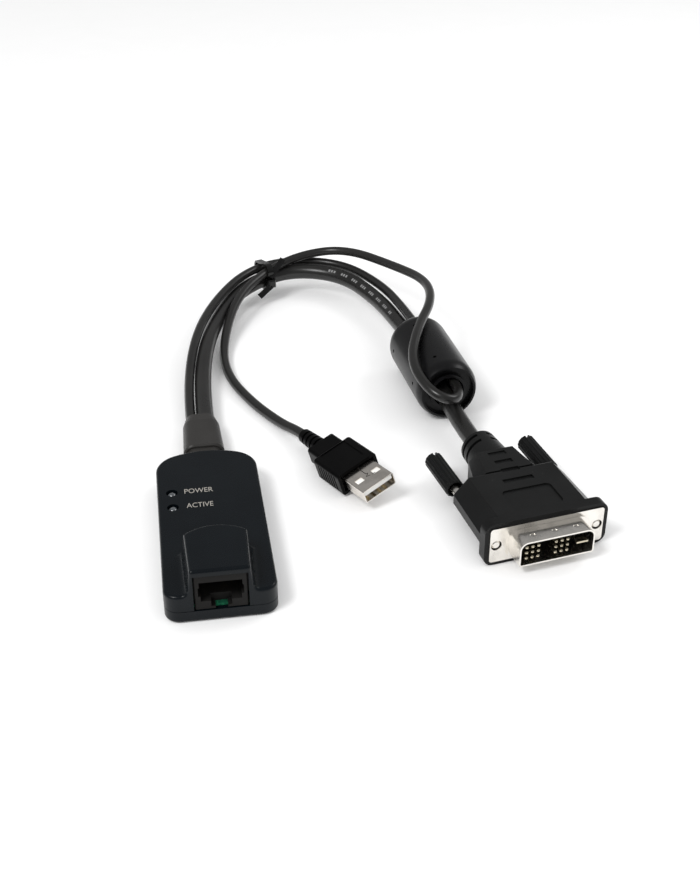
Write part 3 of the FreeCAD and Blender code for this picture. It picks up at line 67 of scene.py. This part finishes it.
class Signal:
    """One node socket that takes part in Python arithmetic."""

    def __init__(self, graph: "Nodes", socket: bpy.types.NodeSocket) -> None:
        """Wrap a socket.

        Args:
            graph: The nodes that the socket belongs to.
            socket: The output socket.
        """
        self.graph = graph
        self.socket = socket

    def __add__(self, other: "Signal | float") -> "Signal":
        """Sum."""
        return self.graph.math("ADD", self, other)

    __radd__ = __add__

    def __sub__(self, other: "Signal | float") -> "Signal":
        """Difference."""
        return self.graph.math("SUBTRACT", self, other)

    def __rsub__(self, other: float) -> "Signal":
        """Difference from a number."""
        return self.graph.math("SUBTRACT", other, self)

    def __mul__(self, other: "Signal | float") -> "Signal":
        """Product."""
        return self.graph.math("MULTIPLY", self, other)

    __rmul__ = __mul__

    def __truediv__(self, other: "Signal | float") -> "Signal":
        """Quotient."""
        return self.graph.math("DIVIDE", self, other)

    def above(self, threshold: float) -> "Signal":
        """1 where the value is above a threshold, else 0."""
        return self.graph.math("GREATER_THAN", self, threshold)

    def below(self, threshold: float) -> "Signal":
        """1 where the value is below a threshold, else 0."""
        return self.graph.math("LESS_THAN", self, threshold)

    def clamped(self) -> "Signal":
        """The value held between 0 and 1."""
        return self.graph.math("MINIMUM", self.graph.math("MAXIMUM", self, 0.0), 1.0)

    def step(self, low: float, high: float) -> "Signal":
        """A ramp from 0 at low to 1 at high, held at both ends."""
        return ((self - low) / (high - low)).clamped()


class Nodes:
    """A node tree, filled through one method."""

    def __init__(self, owner: bpy.types.Material | bpy.types.World) -> None:
        """Start with an empty tree.

        Args:
            owner: The material or world whose nodes these are.
        """
        owner.use_nodes = True
        self.tree = owner.node_tree
        self.tree.nodes.clear()

    def node(
        self, kind: str, settings: dict[str, Any] | None = None, sockets: dict[str | int, Any] | None = None
    ) -> bpy.types.Node:
        """Add a node.

        Args:
            kind: The node's type, such as ShaderNodeMath.
            settings: Properties, set first.
            sockets: Values or links by input name or number; a colour may lack its alpha.

        Returns:
            The node.
        """
        made = self.tree.nodes.new(kind)
        for key, setting in (settings or {}).items():
            setattr(made, key, setting)
        for key, content in (sockets or {}).items():
            entry = made.inputs[key]
            if isinstance(content, Signal):
                self.tree.links.new(content.socket, entry)
            elif entry.type == "RGBA" and len(content) == 3:
                entry.default_value = (*content, 1.0)
            else:
                entry.default_value = content
        return made

    def signal(self, node: bpy.types.Node, output: str | int = 0) -> Signal:
        """One of a node's outputs as a signal."""
        return Signal(self, node.outputs[output])

    def math(self, operation: str, *values: Signal | float) -> Signal:
        """A Math node on one to three values."""
        sockets = dict(enumerate(values))
        return self.signal(self.node("ShaderNodeMath", {"operation": operation}, sockets))


class Graph(Nodes):
    """The nodes of one material."""

    def __init__(self, name: str) -> None:
        """Start an empty material.

        Args:
            name: The material's name.
        """
        self.material = bpy.data.materials.new(name)
        super().__init__(self.material)

    def place(self) -> Signal:
        """Place on the piece, in metres."""
        return self.signal(self.node("ShaderNodeTexCoord"), "Object")

    def stretched(self, scale: Point) -> Signal:
        """Place on the piece, scaled axis by axis."""
        mapping = self.node("ShaderNodeMapping", None, {"Vector": self.place(), "Scale": scale})
        return self.signal(mapping)

    def axis(self, name: str) -> Signal:
        """One coordinate of the place on the piece: X, Y or Z."""
        return self.signal(self.node("ShaderNodeSeparateXYZ", None, {0: self.place()}), name)

    def noise(self, size: float, detail: float = 2.0, stretch: Point | None = None) -> Signal:
        """Soft noise.

        Args:
            size: Size of a blotch, in metres.
            detail: How many finer layers it has.
            stretch: How much finer it is along each axis, if not evenly.

        Returns:
            A value from 0 to 1.
        """
        vector = self.stretched(stretch) if stretch else self.place()
        sockets = {"Vector": vector, "Scale": 1.0 / size, "Detail": detail, "Roughness": 0.55}
        return self.signal(self.node("ShaderNodeTexNoise", None, sockets), 0)

    def specks(self, pitch: float, radius: float) -> Signal:
        """Small round specks: 1 inside a speck, else 0."""
        sockets = {"Vector": self.place(), "Scale": 1.0 / pitch, "Randomness": 1.0}
        cells = self.node("ShaderNodeTexVoronoi", {"feature": "F1"}, sockets)
        return self.signal(cells, "Distance").below(radius / pitch)

    def blend(self, mask: Signal | float, low: Signal | Colour, high: Signal | Colour) -> Signal:
        """Mix two colours.

        Args:
            mask: 0 gives low, 1 gives high.
            low: First colour.
            high: Second colour.

        Returns:
            The mixed colour.
        """
        sockets = {MIX_FACTOR: mask, MIX_COLOUR_A: low, MIX_COLOUR_B: high}
        return self.signal(self.node("ShaderNodeMix", {"data_type": "RGBA"}, sockets), MIX_COLOUR_RESULT)

    def bump(self, height: Signal, depth: float, strength: float = 1.0) -> Signal:
        """Surface relief.

        Args:
            height: Relief from 0 to 1.
            depth: Height of the relief, in metres.
            strength: How much of it shows.

        Returns:
            The bent normal.
        """
        sockets = {"Height": height, "Distance": depth, "Strength": strength}
        return self.signal(self.node("ShaderNodeBump", None, sockets), 0)

    def finish(self, sockets: dict[str | int, Any]) -> bpy.types.Material:
        """End the graph in a Principled surface.

        Args:
            sockets: Values or links by input name.

        Returns:
            The material.
        """
        shader = self.node("ShaderNodeBsdfPrincipled", None, sockets)
        self.node("ShaderNodeOutputMaterial", None, {"Surface": self.signal(shader)})
        return self.material


# ---------------------------------------------------------------- finishes


@dataclass(frozen=True)
class MouldedPlastic:
    """Moulded plastic with a fine tool texture, slow colour drift and rubbed patches."""

    name: str
    colour: Colour
    roughness: float = 0.5
    grain: float = 0.35 * MM
    depth: float = 0.02 * MM
    drift: float = 0.15
    gloss: float = 0.15
    dust: float = 0.0

    def build(self) -> bpy.types.Material:
        """Make the material.

        Returns:
            The material.
        """
        graph = Graph(self.name)
        grain = graph.noise(self.grain, 2.0)
        patches = graph.noise(14 * MM, 3.0)
        light = tuple(min(1.0, part * (1.0 + self.drift) + 0.0008) for part in self.colour)
        dark = tuple(part * (1.0 - self.drift) for part in self.colour)
        colour = graph.blend(patches.step(0.3, 0.7), dark, light)
        if self.dust:
            fluff = graph.specks(3.2 * MM, 0.09 * MM) * graph.noise(6 * MM, 1.0).above(0.5)
            colour = graph.blend(fluff * self.dust, colour, (0.35, 0.34, 0.32))
        rough = self.roughness + (patches - 0.5) * 0.14 + (grain - 0.5) * 0.10
        return graph.finish({
            "Base Color": colour,
            "Roughness": rough,
            "Normal": graph.bump(grain, self.depth),
            "Specular IOR Level": self.gloss,
        })


@dataclass(frozen=True)
class CableJacket:
    """Extruded soft jacket: nearly smooth, with faint drag marks, patches of handling gloss, and painted
    sheen: those same patches lightened in colour.
    """

    name: str
    colour: Colour
    roughness: float = 0.3
    gloss: float = 0.5

    def build(self) -> bpy.types.Material:
        """Make the material.

        Returns:
            The material.
        """
        graph = Graph(self.name)
        drag = graph.noise(1.1 * MM, 2.0)
        gloss_and_painted_sheen = graph.noise(18 * MM, 2.0)
        # Lighter copy of the jacket colour, blended into the glossier patches: painted sheen.
        light = tuple(part * 1.35 for part in self.colour)
        colour = graph.blend(gloss_and_painted_sheen.step(0.35, 0.7), self.colour, light)
        return graph.finish({
            "Base Color": colour,
            "Roughness": self.roughness + (gloss_and_painted_sheen - 0.5) * 0.16 + (drag - 0.5) * 0.06,
            "Normal": graph.bump(drag, 0.02 * MM, 0.6),
            "Specular IOR Level": self.gloss,
        })


@dataclass(frozen=True)
class PlatedMetal:
    """Plated sheet metal with rolling lines, finger haze and small dull spots."""

    name: str
    colour: Colour
    roughness: float = 0.24
    lines: Point = (1.0, 12.0, 1.0)

    def build(self) -> bpy.types.Material:
        """Make the material.

        Returns:
            The material.
        """
        graph = Graph(self.name)
        rolling = graph.noise(1.6 * MM, 3.0, self.lines)
        haze = graph.noise(5 * MM, 3.0)
        spots = graph.specks(2.1 * MM, 0.12 * MM)
        dull = tuple(part * 0.78 for part in self.colour)
        colour = graph.blend(haze.step(0.42, 0.75), self.colour, dull)
        colour = graph.blend(spots * 0.5, colour, (0.35, 0.32, 0.27))
        return graph.finish({
            "Base Color": colour,
            "Metallic": 1.0,
            "Roughness": self.roughness + (haze - 0.5) * 0.18 + (rolling - 0.5) * 0.10 + spots * 0.2,
            "Normal": graph.bump(rolling, 0.01 * MM, 0.5),
        })


@dataclass(frozen=True)
class SolderMask:
    """Green circuit board with paler copper runs under the mask."""

    name: str
    colour: Colour
    track: Colour
    lane_pitch: float = 1.613 * MM
    run_length: float = 7.143 * MM
    wander: float = 6.0
    stagger: float = 0.37
    copper_share: float = 0.42
    gap_share: float = 0.18

    def build(self) -> bpy.types.Material:
        """Make the material.

        Returns:
            The material.
        """
        graph = Graph(self.name)
        across, along = graph.axis("X"), graph.axis("Y")
        wander = graph.noise(9 * MM, 1.0) * self.wander
        lanes = graph.math("FRACT", across / self.lane_pitch + graph.math("FLOOR", wander))
        pair = graph.math("FLOOR", across / (2 * self.lane_pitch))
        breaks = graph.math("FRACT", along / self.run_length + pair * self.stagger)
        copper = lanes.below(self.copper_share) * breaks.above(self.gap_share)
        colour = graph.blend(copper, self.colour, self.track)
        return graph.finish({
            "Base Color": colour,
            "Roughness": 0.32 - copper * 0.08,
            "Normal": graph.bump(copper, 0.03 * MM),
            "Coat Weight": 0.3,
            "Coat Roughness": 0.2,
        })


@dataclass(frozen=True)
class LampLens:
    """Clear moulded lens over a dark well, with paler swirls."""

    name: str
    colour: Colour

    def build(self) -> bpy.types.Material:
        """Make the material.

        Returns:
            The material.
        """
        graph = Graph(self.name)
        swirl = graph.noise(1.2 * MM, 2.0)
        pale = tuple(min(1.0, part * 2.2) for part in self.colour)
        return graph.finish({
            "Base Color": graph.blend(swirl.step(0.45, 0.7), self.colour, pale),
            "Roughness": 0.06 + swirl * 0.05,
            "Coat Weight": 1.0,
            "Coat Roughness": 0.03,
            "IOR": 1.55,
        })


@dataclass(frozen=True)
class Ink:
    """Pad-printed ink with slightly worn coverage."""

    name: str
    colour: Colour
    under: Colour

    def build(self) -> bpy.types.Material:
        """Make the material.

        Returns:
            The material.
        """
        graph = Graph(self.name)
        worn = graph.noise(0.4 * MM, 3.0).step(0.62, 0.8)
        return graph.finish({
            "Base Color": graph.blend(worn * 0.5, self.colour, self.under),
            "Roughness": 0.55,
        })


class Finish(Enum):
    """Every finish of the object."""

    CASE = MouldedPlastic(
        "case_plastic", (0.0018, 0.0036, 0.0054),
        roughness=0.27, grain=0.3 * MM, depth=0.012 * MM, drift=0.10, gloss=0.20,
    )
    JACK = MouldedPlastic(
        "jack_plastic", (0.012, 0.0115, 0.011),
        roughness=0.45, grain=0.4 * MM, depth=0.01 * MM, drift=0.12, gloss=0.08,
    )
    CHIP = MouldedPlastic("chip_package", (0.02, 0.02, 0.02), roughness=0.6)
    HEADER = MouldedPlastic("header_plastic", (0.62, 0.60, 0.54), roughness=0.5)
    CERAMIC = MouldedPlastic("capacitor_ceramic", (0.30, 0.22, 0.14), roughness=0.55)
    BOOT = MouldedPlastic(
        "boot_pvc", (0.030, 0.0285, 0.027),
        roughness=0.4, grain=0.5 * MM, depth=0.03 * MM, drift=0.12, gloss=0.25,
    )
    FERRITE = MouldedPlastic(
        "ferrite_cover_plastic", (0.0045, 0.0045, 0.005),
        roughness=0.3, grain=0.4 * MM, depth=0.012 * MM, drift=0.12, gloss=0.2,
    )
    CORE = MouldedPlastic(
        "ferrite_ceramic", (0.05, 0.05, 0.052),
        roughness=0.7, grain=0.6 * MM, depth=0.04 * MM,
    )
    PLUG = MouldedPlastic(
        "plug_hood_pvc", (0.0075, 0.0077, 0.0078),
        roughness=0.34, grain=0.4 * MM, depth=0.04 * MM, drift=0.15, gloss=0.16, dust=0.3,
    )
    USB = MouldedPlastic(
        "usb_hood_pvc", (0.0014, 0.0014, 0.0015),
        roughness=0.32, grain=0.4 * MM, depth=0.03 * MM, drift=0.15, gloss=0.08,
    )
    TIE = MouldedPlastic(
        "tie_nylon", (0.003, 0.003, 0.003),
        roughness=0.22, grain=0.8 * MM, depth=0.01 * MM, drift=0.1, gloss=0.4,
    )
    TONGUE = MouldedPlastic(
        "insulator_plastic", (0.84, 0.83, 0.80),
        roughness=0.4, grain=0.6 * MM, depth=0.01 * MM, drift=0.04,
    )
    PIN_BLOCK = MouldedPlastic(
        "pin_block_plastic", (0.003, 0.003, 0.003),
        roughness=0.45, grain=0.6 * MM, depth=0.02 * MM, drift=0.15, gloss=0.04,
    )
    JACKET = CableJacket("lead_jacket", (0.0095, 0.0092, 0.0088))
    NICKEL = PlatedMetal("nickel_plate", (0.90, 0.87, 0.82))
    SHELL = PlatedMetal("usb_shell_plate", (0.80, 0.755, 0.70), roughness=0.2)
    GOLD = PlatedMetal("gold_plate", (0.83, 0.66, 0.36), roughness=0.22)
    PIN = PlatedMetal("pin_plate", (0.66, 0.60, 0.46), roughness=0.25)
    SCREW = PlatedMetal("screw_zinc", (0.20, 0.20, 0.205), roughness=0.4)
    CAN = PlatedMetal("crystal_can", (0.6, 0.6, 0.58), roughness=0.3)
    BOARD = SolderMask("board_mask", (0.008, 0.085, 0.045), (0.02, 0.16, 0.08))
    LENS = LampLens("lamp_lens", (0.055, 0.06, 0.065))
    LEGEND = Ink("legend_ink", (0.33, 0.31, 0.28), (0.02, 0.02, 0.02))
    SEAM = MouldedPlastic("seam_shadow", (0.012, 0.010, 0.008), roughness=0.7)
    PRINT = Ink("jacket_print", (0.22, 0.22, 0.22), (0.03, 0.03, 0.03))


class Palette:
    """Materials already made, one for each finish."""

    def __init__(self) -> None:
        """Start with none."""
        self.made: dict[Finish, bpy.types.Material] = {}

    def material(self, finish: Finish) -> bpy.types.Material:
        """The material of a finish, made once."""
        if finish not in self.made:
            self.made[finish] = finish.value.build()
        return self.made[finish]

    def dress(self, obj: bpy.types.Object, finish: Finish) -> None:
        """Give an object one finish all over."""
        obj.data.materials.clear()
        obj.data.materials.append(self.material(finish))

    def dress_nodes(self, finishes: dict[str, Finish]) -> None:
        """Give model nodes their finishes by name."""
        for name, finish in finishes.items():
            self.dress(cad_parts[name], finish)


# ---------------------------------------------------------------- shared makers


def add_mesh(name: str, mesh: bmesh.types.BMesh) -> bpy.types.Object:
    """Turn a bmesh into an object of the scene.

    Args:
        name: The object's name.
        mesh: The bmesh, which is freed.

    Returns:
        The object.
    """
    data = bpy.data.meshes.new(name)
    mesh.to_mesh(data)
    mesh.free()
    made = bpy.data.objects.new(name, data)
    bpy.context.scene.collection.objects.link(made)
    return made


def plug_place(origin_mm: Point, turn: float, pitch: float = 0.0, roll: float = 0.0) -> Matrix:
    """Place of a loose end: its own origin and its turns about Z, then X, then Y, in degrees.

    Args:
        origin_mm: The origin in millimetres.
        turn: Turn about Z.
        pitch: Turn about X.
        roll: Turn about Y.

    Returns:
        The matrix.
    """
    turns = Matrix.Rotation(math.radians(turn), 4, "Z") @ Matrix.Rotation(math.radians(pitch), 4, "X")
    turns = turns @ Matrix.Rotation(math.radians(roll), 4, "Y")
    return Matrix.Translation(Vector(origin_mm) * MM) @ turns


def ribbon(
    name: str, corners_mm: Sequence[tuple[float, float]], width_mm: float, level_mm: float, place: Matrix
) -> bpy.types.Object:
    """Flat thin strip along a broken line on a level of a plug.

    Args:
        name: The object's name.
        corners_mm: Corners across and along the plug, in millimetres.
        width_mm: Width of the strip.
        level_mm: Height over the plug's axis.
        place: The plug's place.

    Returns:
        The object.
    """
    mesh = bmesh.new()
    for (across, along), (far_across, far_along) in zip(corners_mm, corners_mm[1:]):
        run = Vector((far_across - across, far_along - along, 0.0)).normalized() * (width_mm / 2)
        side = Vector((-run.y, run.x, 0.0))
        start = Vector((across, along, level_mm)) - run
        end = Vector((far_across, far_along, level_mm)) + run
        outline = (start - side, end - side, end + side, start + side)
        mesh.faces.new([mesh.verts.new(place @ (point * MM)) for point in outline])
    return add_mesh(name, mesh)


# ---------------------------------------------------------------- sub-assemblies


@dataclass
class Case:
    """The case with its jack, board, lamps and legends."""

    palette: Palette
    deck: float = 9.4 * MM
    legend_height: float = 2.5 * MM
    legend_lift: float = 0.03 * MM
    legends: dict[str, tuple[float, float, float]] = field(default_factory=lambda: {
        "POWER": (-7.7 * MM, 1.2 * MM, 13.1 * MM),
        "ACTIVE": (-7.4 * MM, 0.8 * MM, 5.2 * MM),
    })

    def build(self) -> None:
        """Dress the case and print its legends."""
        self.palette.dress_nodes({
            "upper_case": Finish.CASE, "lower_case": Finish.CASE, "case_screws": Finish.SCREW,
            "rj45_jack": Finish.JACK, "rj45_contacts": Finish.GOLD, "circuit_board": Finish.BOARD,
            "processor_chip": Finish.CHIP, "interface_chip": Finish.CHIP, "crystal": Finish.CAN,
            "chip_capacitors": Finish.CERAMIC, "cable_header": Finish.HEADER,
            "power_led": Finish.LENS, "active_led": Finish.LENS, "cable_boot": Finish.BOOT,
        })
        for word, (left, right, baseline) in self.legends.items():
            self.print_legend(word, left, right, baseline)

    def print_legend(self, word: str, left: float, right: float, baseline: float) -> None:
        """Lay one word of ink on the deck.

        Args:
            word: The word.
            left: Where it starts across the case.
            right: Where it ends.
            baseline: How far along the case its foot is.
        """
        curve = bpy.data.curves.new("legend_outline", "FONT")
        curve.body = word
        curve.resolution_u = 3
        outline = bpy.data.objects.new("legend_outline", curve)
        bpy.context.scene.collection.objects.link(outline)
        bpy.context.view_layer.update()
        data = bpy.data.meshes.new_from_object(outline)
        bpy.data.objects.remove(outline)
        low = Vector(min(vertex.co[axis] for vertex in data.vertices) for axis in range(3))
        high = Vector(max(vertex.co[axis] for vertex in data.vertices) for axis in range(3))
        for vertex in data.vertices:
            across = (vertex.co.x - low.x) / (high.x - low.x)
            upward = (vertex.co.y - low.y) / (high.y - low.y)
            vertex.co = (
                left + across * (right - left), baseline + upward * self.legend_height,
                self.deck + self.legend_lift)
        made = bpy.data.objects.new("legend_" + word.lower(), data)
        bpy.context.scene.collection.objects.link(made)
        self.palette.dress(made, Finish.LEGEND)
        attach(made, ROOT_BODY)


@dataclass
class VideoPlug:
    """The video plug with its two thumb screws."""

    palette: Palette

    def build(self) -> None:
        """Dress the plug."""
        self.palette.dress_nodes({
            "dvi_hood": Finish.PLUG, "dvi_relief": Finish.PLUG, "dvi_shell": Finish.NICKEL,
            "dvi_insulator": Finish.PIN_BLOCK, "dvi_pins": Finish.PIN,
            "dvi_screw_left": Finish.NICKEL, "dvi_screw_right": Finish.NICKEL,
            "dvi_knob_left": Finish.PLUG, "dvi_knob_right": Finish.PLUG,
        })


@dataclass
class UsbPlug:
    """The USB plug with the seam of its folded shell."""

    palette: Palette
    place: Matrix = field(default_factory=lambda: plug_place((53.47, 9.31, 7.58), 25.08, -4.2, -15.9))
    shell_top_mm: float = 2.265
    seam_width_mm: float = 0.24
    seams: dict[str, list[tuple[float, float]]] = field(default_factory=lambda: {
        "usb_seam_rear": [(0.1, 12.3), (0.1, 7.0), (0.7, 6.6), (-0.5, 5.6), (0.6, 5.2)],
        "usb_seam_front": [(1.5, 5.0), (2.5, 5.0)],
    })

    def build(self) -> None:
        """Dress the plug and draw its seam."""
        self.palette.dress_nodes({
            "usb_shell": Finish.SHELL, "usb_insulator": Finish.TONGUE, "usb_contacts": Finish.GOLD,
            "usb_hood": Finish.USB, "usb_relief": Finish.USB,
        })
        for name, corners in self.seams.items():
            seam = ribbon(name, corners, self.seam_width_mm, self.shell_top_mm, self.place)
            self.palette.dress(seam, Finish.SEAM)
            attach(seam, ROOT_BODY)


class Stiffness(Enum):
    """How a lead bends."""

    LIMP = "limp"
    MEDIUM = "medium"
    STIFF = "stiff"


@dataclass
class Lead:
    """One round lead along its route."""

    palette: Palette
    name: str
    solid: str
    diameter: float
    length: float
    stiffness: Stiffness
    corners_mm: list[Point]
    far_pieces: list[str]
    finish: Finish = Finish.JACKET
    marks_from: float = 0.146
    marks_to: float = 0.194
    mark_pitch: float = 1.3 * MM
    mark_length: float = 0.8 * MM
    group_gap: float = 4.0 * MM
    marks_in_group: int = 3
    mark_angles: tuple[float, ...] = (26.0, 36.0, 46.0)
    mark_lift: float = 0.03 * MM

    def route(self, name: str) -> bpy.types.Object:
        """The route as one smooth spline with no thickness.

        Args:
            name: Name of the curve.

        Returns:
            The curve object.
        """
        curve = bpy.data.curves.new(name, "CURVE")
        curve.dimensions = "3D"
        curve.resolution_u = 10
        spline = curve.splines.new("NURBS")
        spline.points.add(len(self.corners_mm) - 1)
        for point, corner in zip(spline.points, self.corners_mm):
            point.co = (*(part * MM for part in corner), 1.0)
        spline.order_u = 3
        spline.use_endpoint_u = True
        made = bpy.data.objects.new(name, curve)
        bpy.context.scene.collection.objects.link(made)
        return made

    def build(self) -> None:
        made = self.route(self.name)
        made.data.bevel_depth = self.diameter / 2
        made.data.bevel_resolution = 5
        made.data.use_fill_caps = True
        self.palette.dress(made, self.finish)
        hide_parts(self.solid)
        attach(made, ROOT_BODY)
        tuple(part * MM for part in self.corners_mm[0])

    def print_marks(self) -> None:
        """Lay groups of small plain dashes of ink along the jacket's upper side."""
        guide = self.route("print_guide")
        bpy.context.view_layer.update()
        line = bpy.data.meshes.new_from_object(guide)
        points = [vertex.co.copy() for vertex in line.vertices]
        bpy.data.objects.remove(guide)
        bpy.data.meshes.remove(line)
        mesh = bmesh.new()
        travelled, next_mark, laid = 0.0, self.marks_from, 0
        for start, end in zip(points, points[1:]):
            step = (end - start).length
            while next_mark < self.marks_to and travelled + step > next_mark:
                centre = start.lerp(end, (next_mark - travelled) / step)
                self._add_mark(mesh, centre, (end - start).normalized())
                laid += 1
                next_mark += self.mark_pitch if laid % self.marks_in_group else self.group_gap
            travelled += step
        made = add_mesh("video_lead_print", mesh)
        self.palette.dress(made, Finish.PRINT)
        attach(made, ROOT_BODY)

    def _add_mark(self, mesh: bmesh.types.BMesh, centre: Vector, along: Vector) -> None:
        """Add one dash, bent round the jacket.

        Args:
            mesh: Where it goes.
            centre: Place on the route.
            along: Way of the route there.
        """
        up = (Vector((0.0, 0.0, 1.0)) - along * along.z).normalized()
        side = along.cross(up)
        reach = self.diameter / 2 + self.mark_lift
        half = along * (self.mark_length / 2)
        rows = []
        for angle in self.mark_angles:
            turn = math.radians(angle)
            rim = centre + (up * math.cos(turn) + side * math.sin(turn)) * reach
            rows.append([mesh.verts.new(rim - half), mesh.verts.new(rim + half)])
        for low, high in zip(rows, rows[1:]):
            mesh.faces.new((low[0], low[1], high[1], high[0]))


@dataclass
class Leads:
    """Both leads with the ferrite sleeve and the cable tie."""

    palette: Palette
    video_corners: list[Point] = field(default_factory=lambda: [
        (1.8, 63.8, 4.7), (1.8, 88, 4.9), (5, 115, 7.2), (11.4, 141, 6), (22.6, 165.5, 6.8),
        (43.5, 176, 9.4), (66, 167, 9.6), (77.2, 144, 8), (82, 118, 8.2), (84.8, 97.5, 9.2),
        (86.3, 58.3, 9), (88.84, 39.07, 7), (90.36, 30.2, 7),
    ])
    usb_corners: list[Point] = field(default_factory=lambda: [
        (-3.3, 63.8, 4.7), (-3.4, 86, 5.4), (1.1, 116.8, 10.6), (10.9, 146, 11.4), (25.2, 170.4, 11.9),
        (43, 180.6, 11.8), (67.2, 176, 10.8), (80.2, 150.4, 11), (84, 124, 12.6), (85.9, 99.6, 14),
        (88.9, 69, 13.6), (90, 53, 14), (84.8, 46.3, 15.1), (78, 51, 17.4), (74.7, 66.6, 20.5),
        (81, 85.4, 24), (90.9, 105.5, 25.1), (93, 127, 23.2), (85.3, 149.5, 19.6), (69, 176, 17.2),
        (49.8, 178, 15), (32.2, 167.4, 12.4), (19.2, 148.5, 9.9), (11.8, 122.5, 2.9), (12, 100.5, 1.8),
        (19.2, 79, 1.9), (28, 62, 2.3), (32.6, 53.93, 3.96), (34.69, 49.43, 4.33),
    ])

    def build(self) -> None:
        """Make both leads and dress what is on them."""
        self.palette.dress_nodes({
            "ferrite_cover": Finish.FERRITE, "ferrite_core": Finish.CORE, "cable_tie": Finish.TIE,
        })
        video = Lead(
            self.palette, "video_lead_jacket", "video_lead", 6.2 * MM, 0.290, Stiffness.MEDIUM,
            self.video_corners,
            ["dvi_hood", "dvi_relief", "dvi_shell", "dvi_insulator", "dvi_pins", "dvi_screw_left",
             "dvi_knob_left", "dvi_screw_right", "dvi_knob_right", "ferrite_cover", "ferrite_core",
             "cable_tie", "cable_boot"],
        )
        video.print_marks()
        video.build()
        Lead(
            self.palette, "usb_lead_jacket", "usb_lead", 3.5 * MM, 0.598, Stiffness.MEDIUM,
            self.usb_corners,
            ["usb_hood", "usb_relief", "usb_shell", "usb_insulator", "usb_contacts"],
        ).build()


# ---------------------------------------------------------------- studio


@dataclass(frozen=True)
class Softbox:
    """One soft square lamp."""

    name: str
    place: Point
    watts: float
    target: Point = (0.05, 0.06, 0.0)
    side: float = 0.3

    def build(self) -> None:
        """Hang the lamp."""
        data = bpy.data.lights.new(self.name, "AREA")
        data.shape = "SQUARE"
        data.size = self.side
        data.energy = self.watts
        lamp = bpy.data.objects.new(self.name, data)
        lamp.location = self.place
        aim = Vector(self.target) - Vector(self.place)
        lamp.rotation_euler = aim.to_track_quat("-Z", "Y").to_euler()
        bpy.context.scene.collection.objects.link(lamp)


@dataclass
class Studio:
    """Floor, lamps, surroundings and camera."""

    camera_place: Point = (-8.33 * MM, -316.06 * MM, 231.63 * MM)
    camera_target: Point = (50.36 * MM, 49.18 * MM, 0.0)
    lens: float = 64.877
    floor_reach: float = 3.0
    surroundings: float = 0.85
    mirrored: float = 0.32
    softboxes: tuple[Softbox, ...] = (
        Softbox("key_softbox", (-0.45, -0.30, 0.75), watts=4.2),
        Softbox("fill_softbox", (0.65, 0.25, 0.55), watts=1.2),
    )

    def build(self) -> None:
        """Set up everything that isn't the object."""
        self.build_floor()
        self.build_world()
        for softbox in self.softboxes:
            softbox.build()
        self.build_camera()
        bpy.context.scene.view_settings.view_transform = "Standard"

    def build_floor(self) -> None:
        """Pale matt floor."""
        mesh = bmesh.new()
        bmesh.ops.create_grid(mesh, x_segments=1, y_segments=1, size=self.floor_reach)
        floor = add_mesh("studio_floor", mesh)
        graph = Graph("floor_paper")
        weave = graph.noise(20 * MM, 2.0)
        floor.data.materials.append(graph.finish({
            "Base Color": graph.blend(weave, (0.93, 0.93, 0.93), (0.95, 0.95, 0.95)),
            "Roughness": 0.9,
            "Specular IOR Level": 0.2,
        }))

    def build_world(self) -> None:
        """Even surroundings: white to the camera, dimmer as light and in reflections."""
        world = bpy.data.worlds.new("surroundings")
        nodes = Nodes(world)
        path = nodes.node("ShaderNodeLightPath")
        strength: Signal | float = self.surroundings
        for ray, seen in (
            ("Is Glossy Ray", self.mirrored), ("Is Camera Ray", WHITE), ("Is Transmission Ray", WHITE)
        ):
            switch = {"Value": nodes.signal(path, ray), "To Min": strength, "To Max": seen}
            strength = nodes.signal(nodes.node("ShaderNodeMapRange", None, switch))
        light = {"Color": (1.0, 1.0, 1.0), "Strength": strength}
        background = nodes.node("ShaderNodeBackground", None, light)
        nodes.node("ShaderNodeOutputWorld", None, {"Surface": nodes.signal(background)})
        bpy.context.scene.world = world

    def build_camera(self) -> None:
        """Camera on the object."""
        data = bpy.data.cameras.new("studio_camera")
        data.sensor_fit = "HORIZONTAL"
        data.sensor_width = 36.0
        data.lens = self.lens
        data.clip_start, data.clip_end = 0.01, 20.0
        camera = bpy.data.objects.new("studio_camera", data)
        camera.location = self.camera_place
        aim = Vector(self.camera_target) - Vector(self.camera_place)
        camera.rotation_euler = aim.to_track_quat("-Z", "Y").to_euler()
        bpy.context.scene.collection.objects.link(camera)
        bpy.context.scene.camera = camera


def main() -> None:
    """Build every sub-assembly and the studio."""
    logging.basicConfig(level=logging.INFO, format="%(name)s: %(message)s")
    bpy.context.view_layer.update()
    palette = Palette()
    for assembly in (Case(palette), VideoPlug(palette), UsbPlug(palette), Leads(palette), Studio()):
        assembly.build()
        LOG.info("built %s", type(assembly).__name__)


if __name__ == "__main__":
    main()
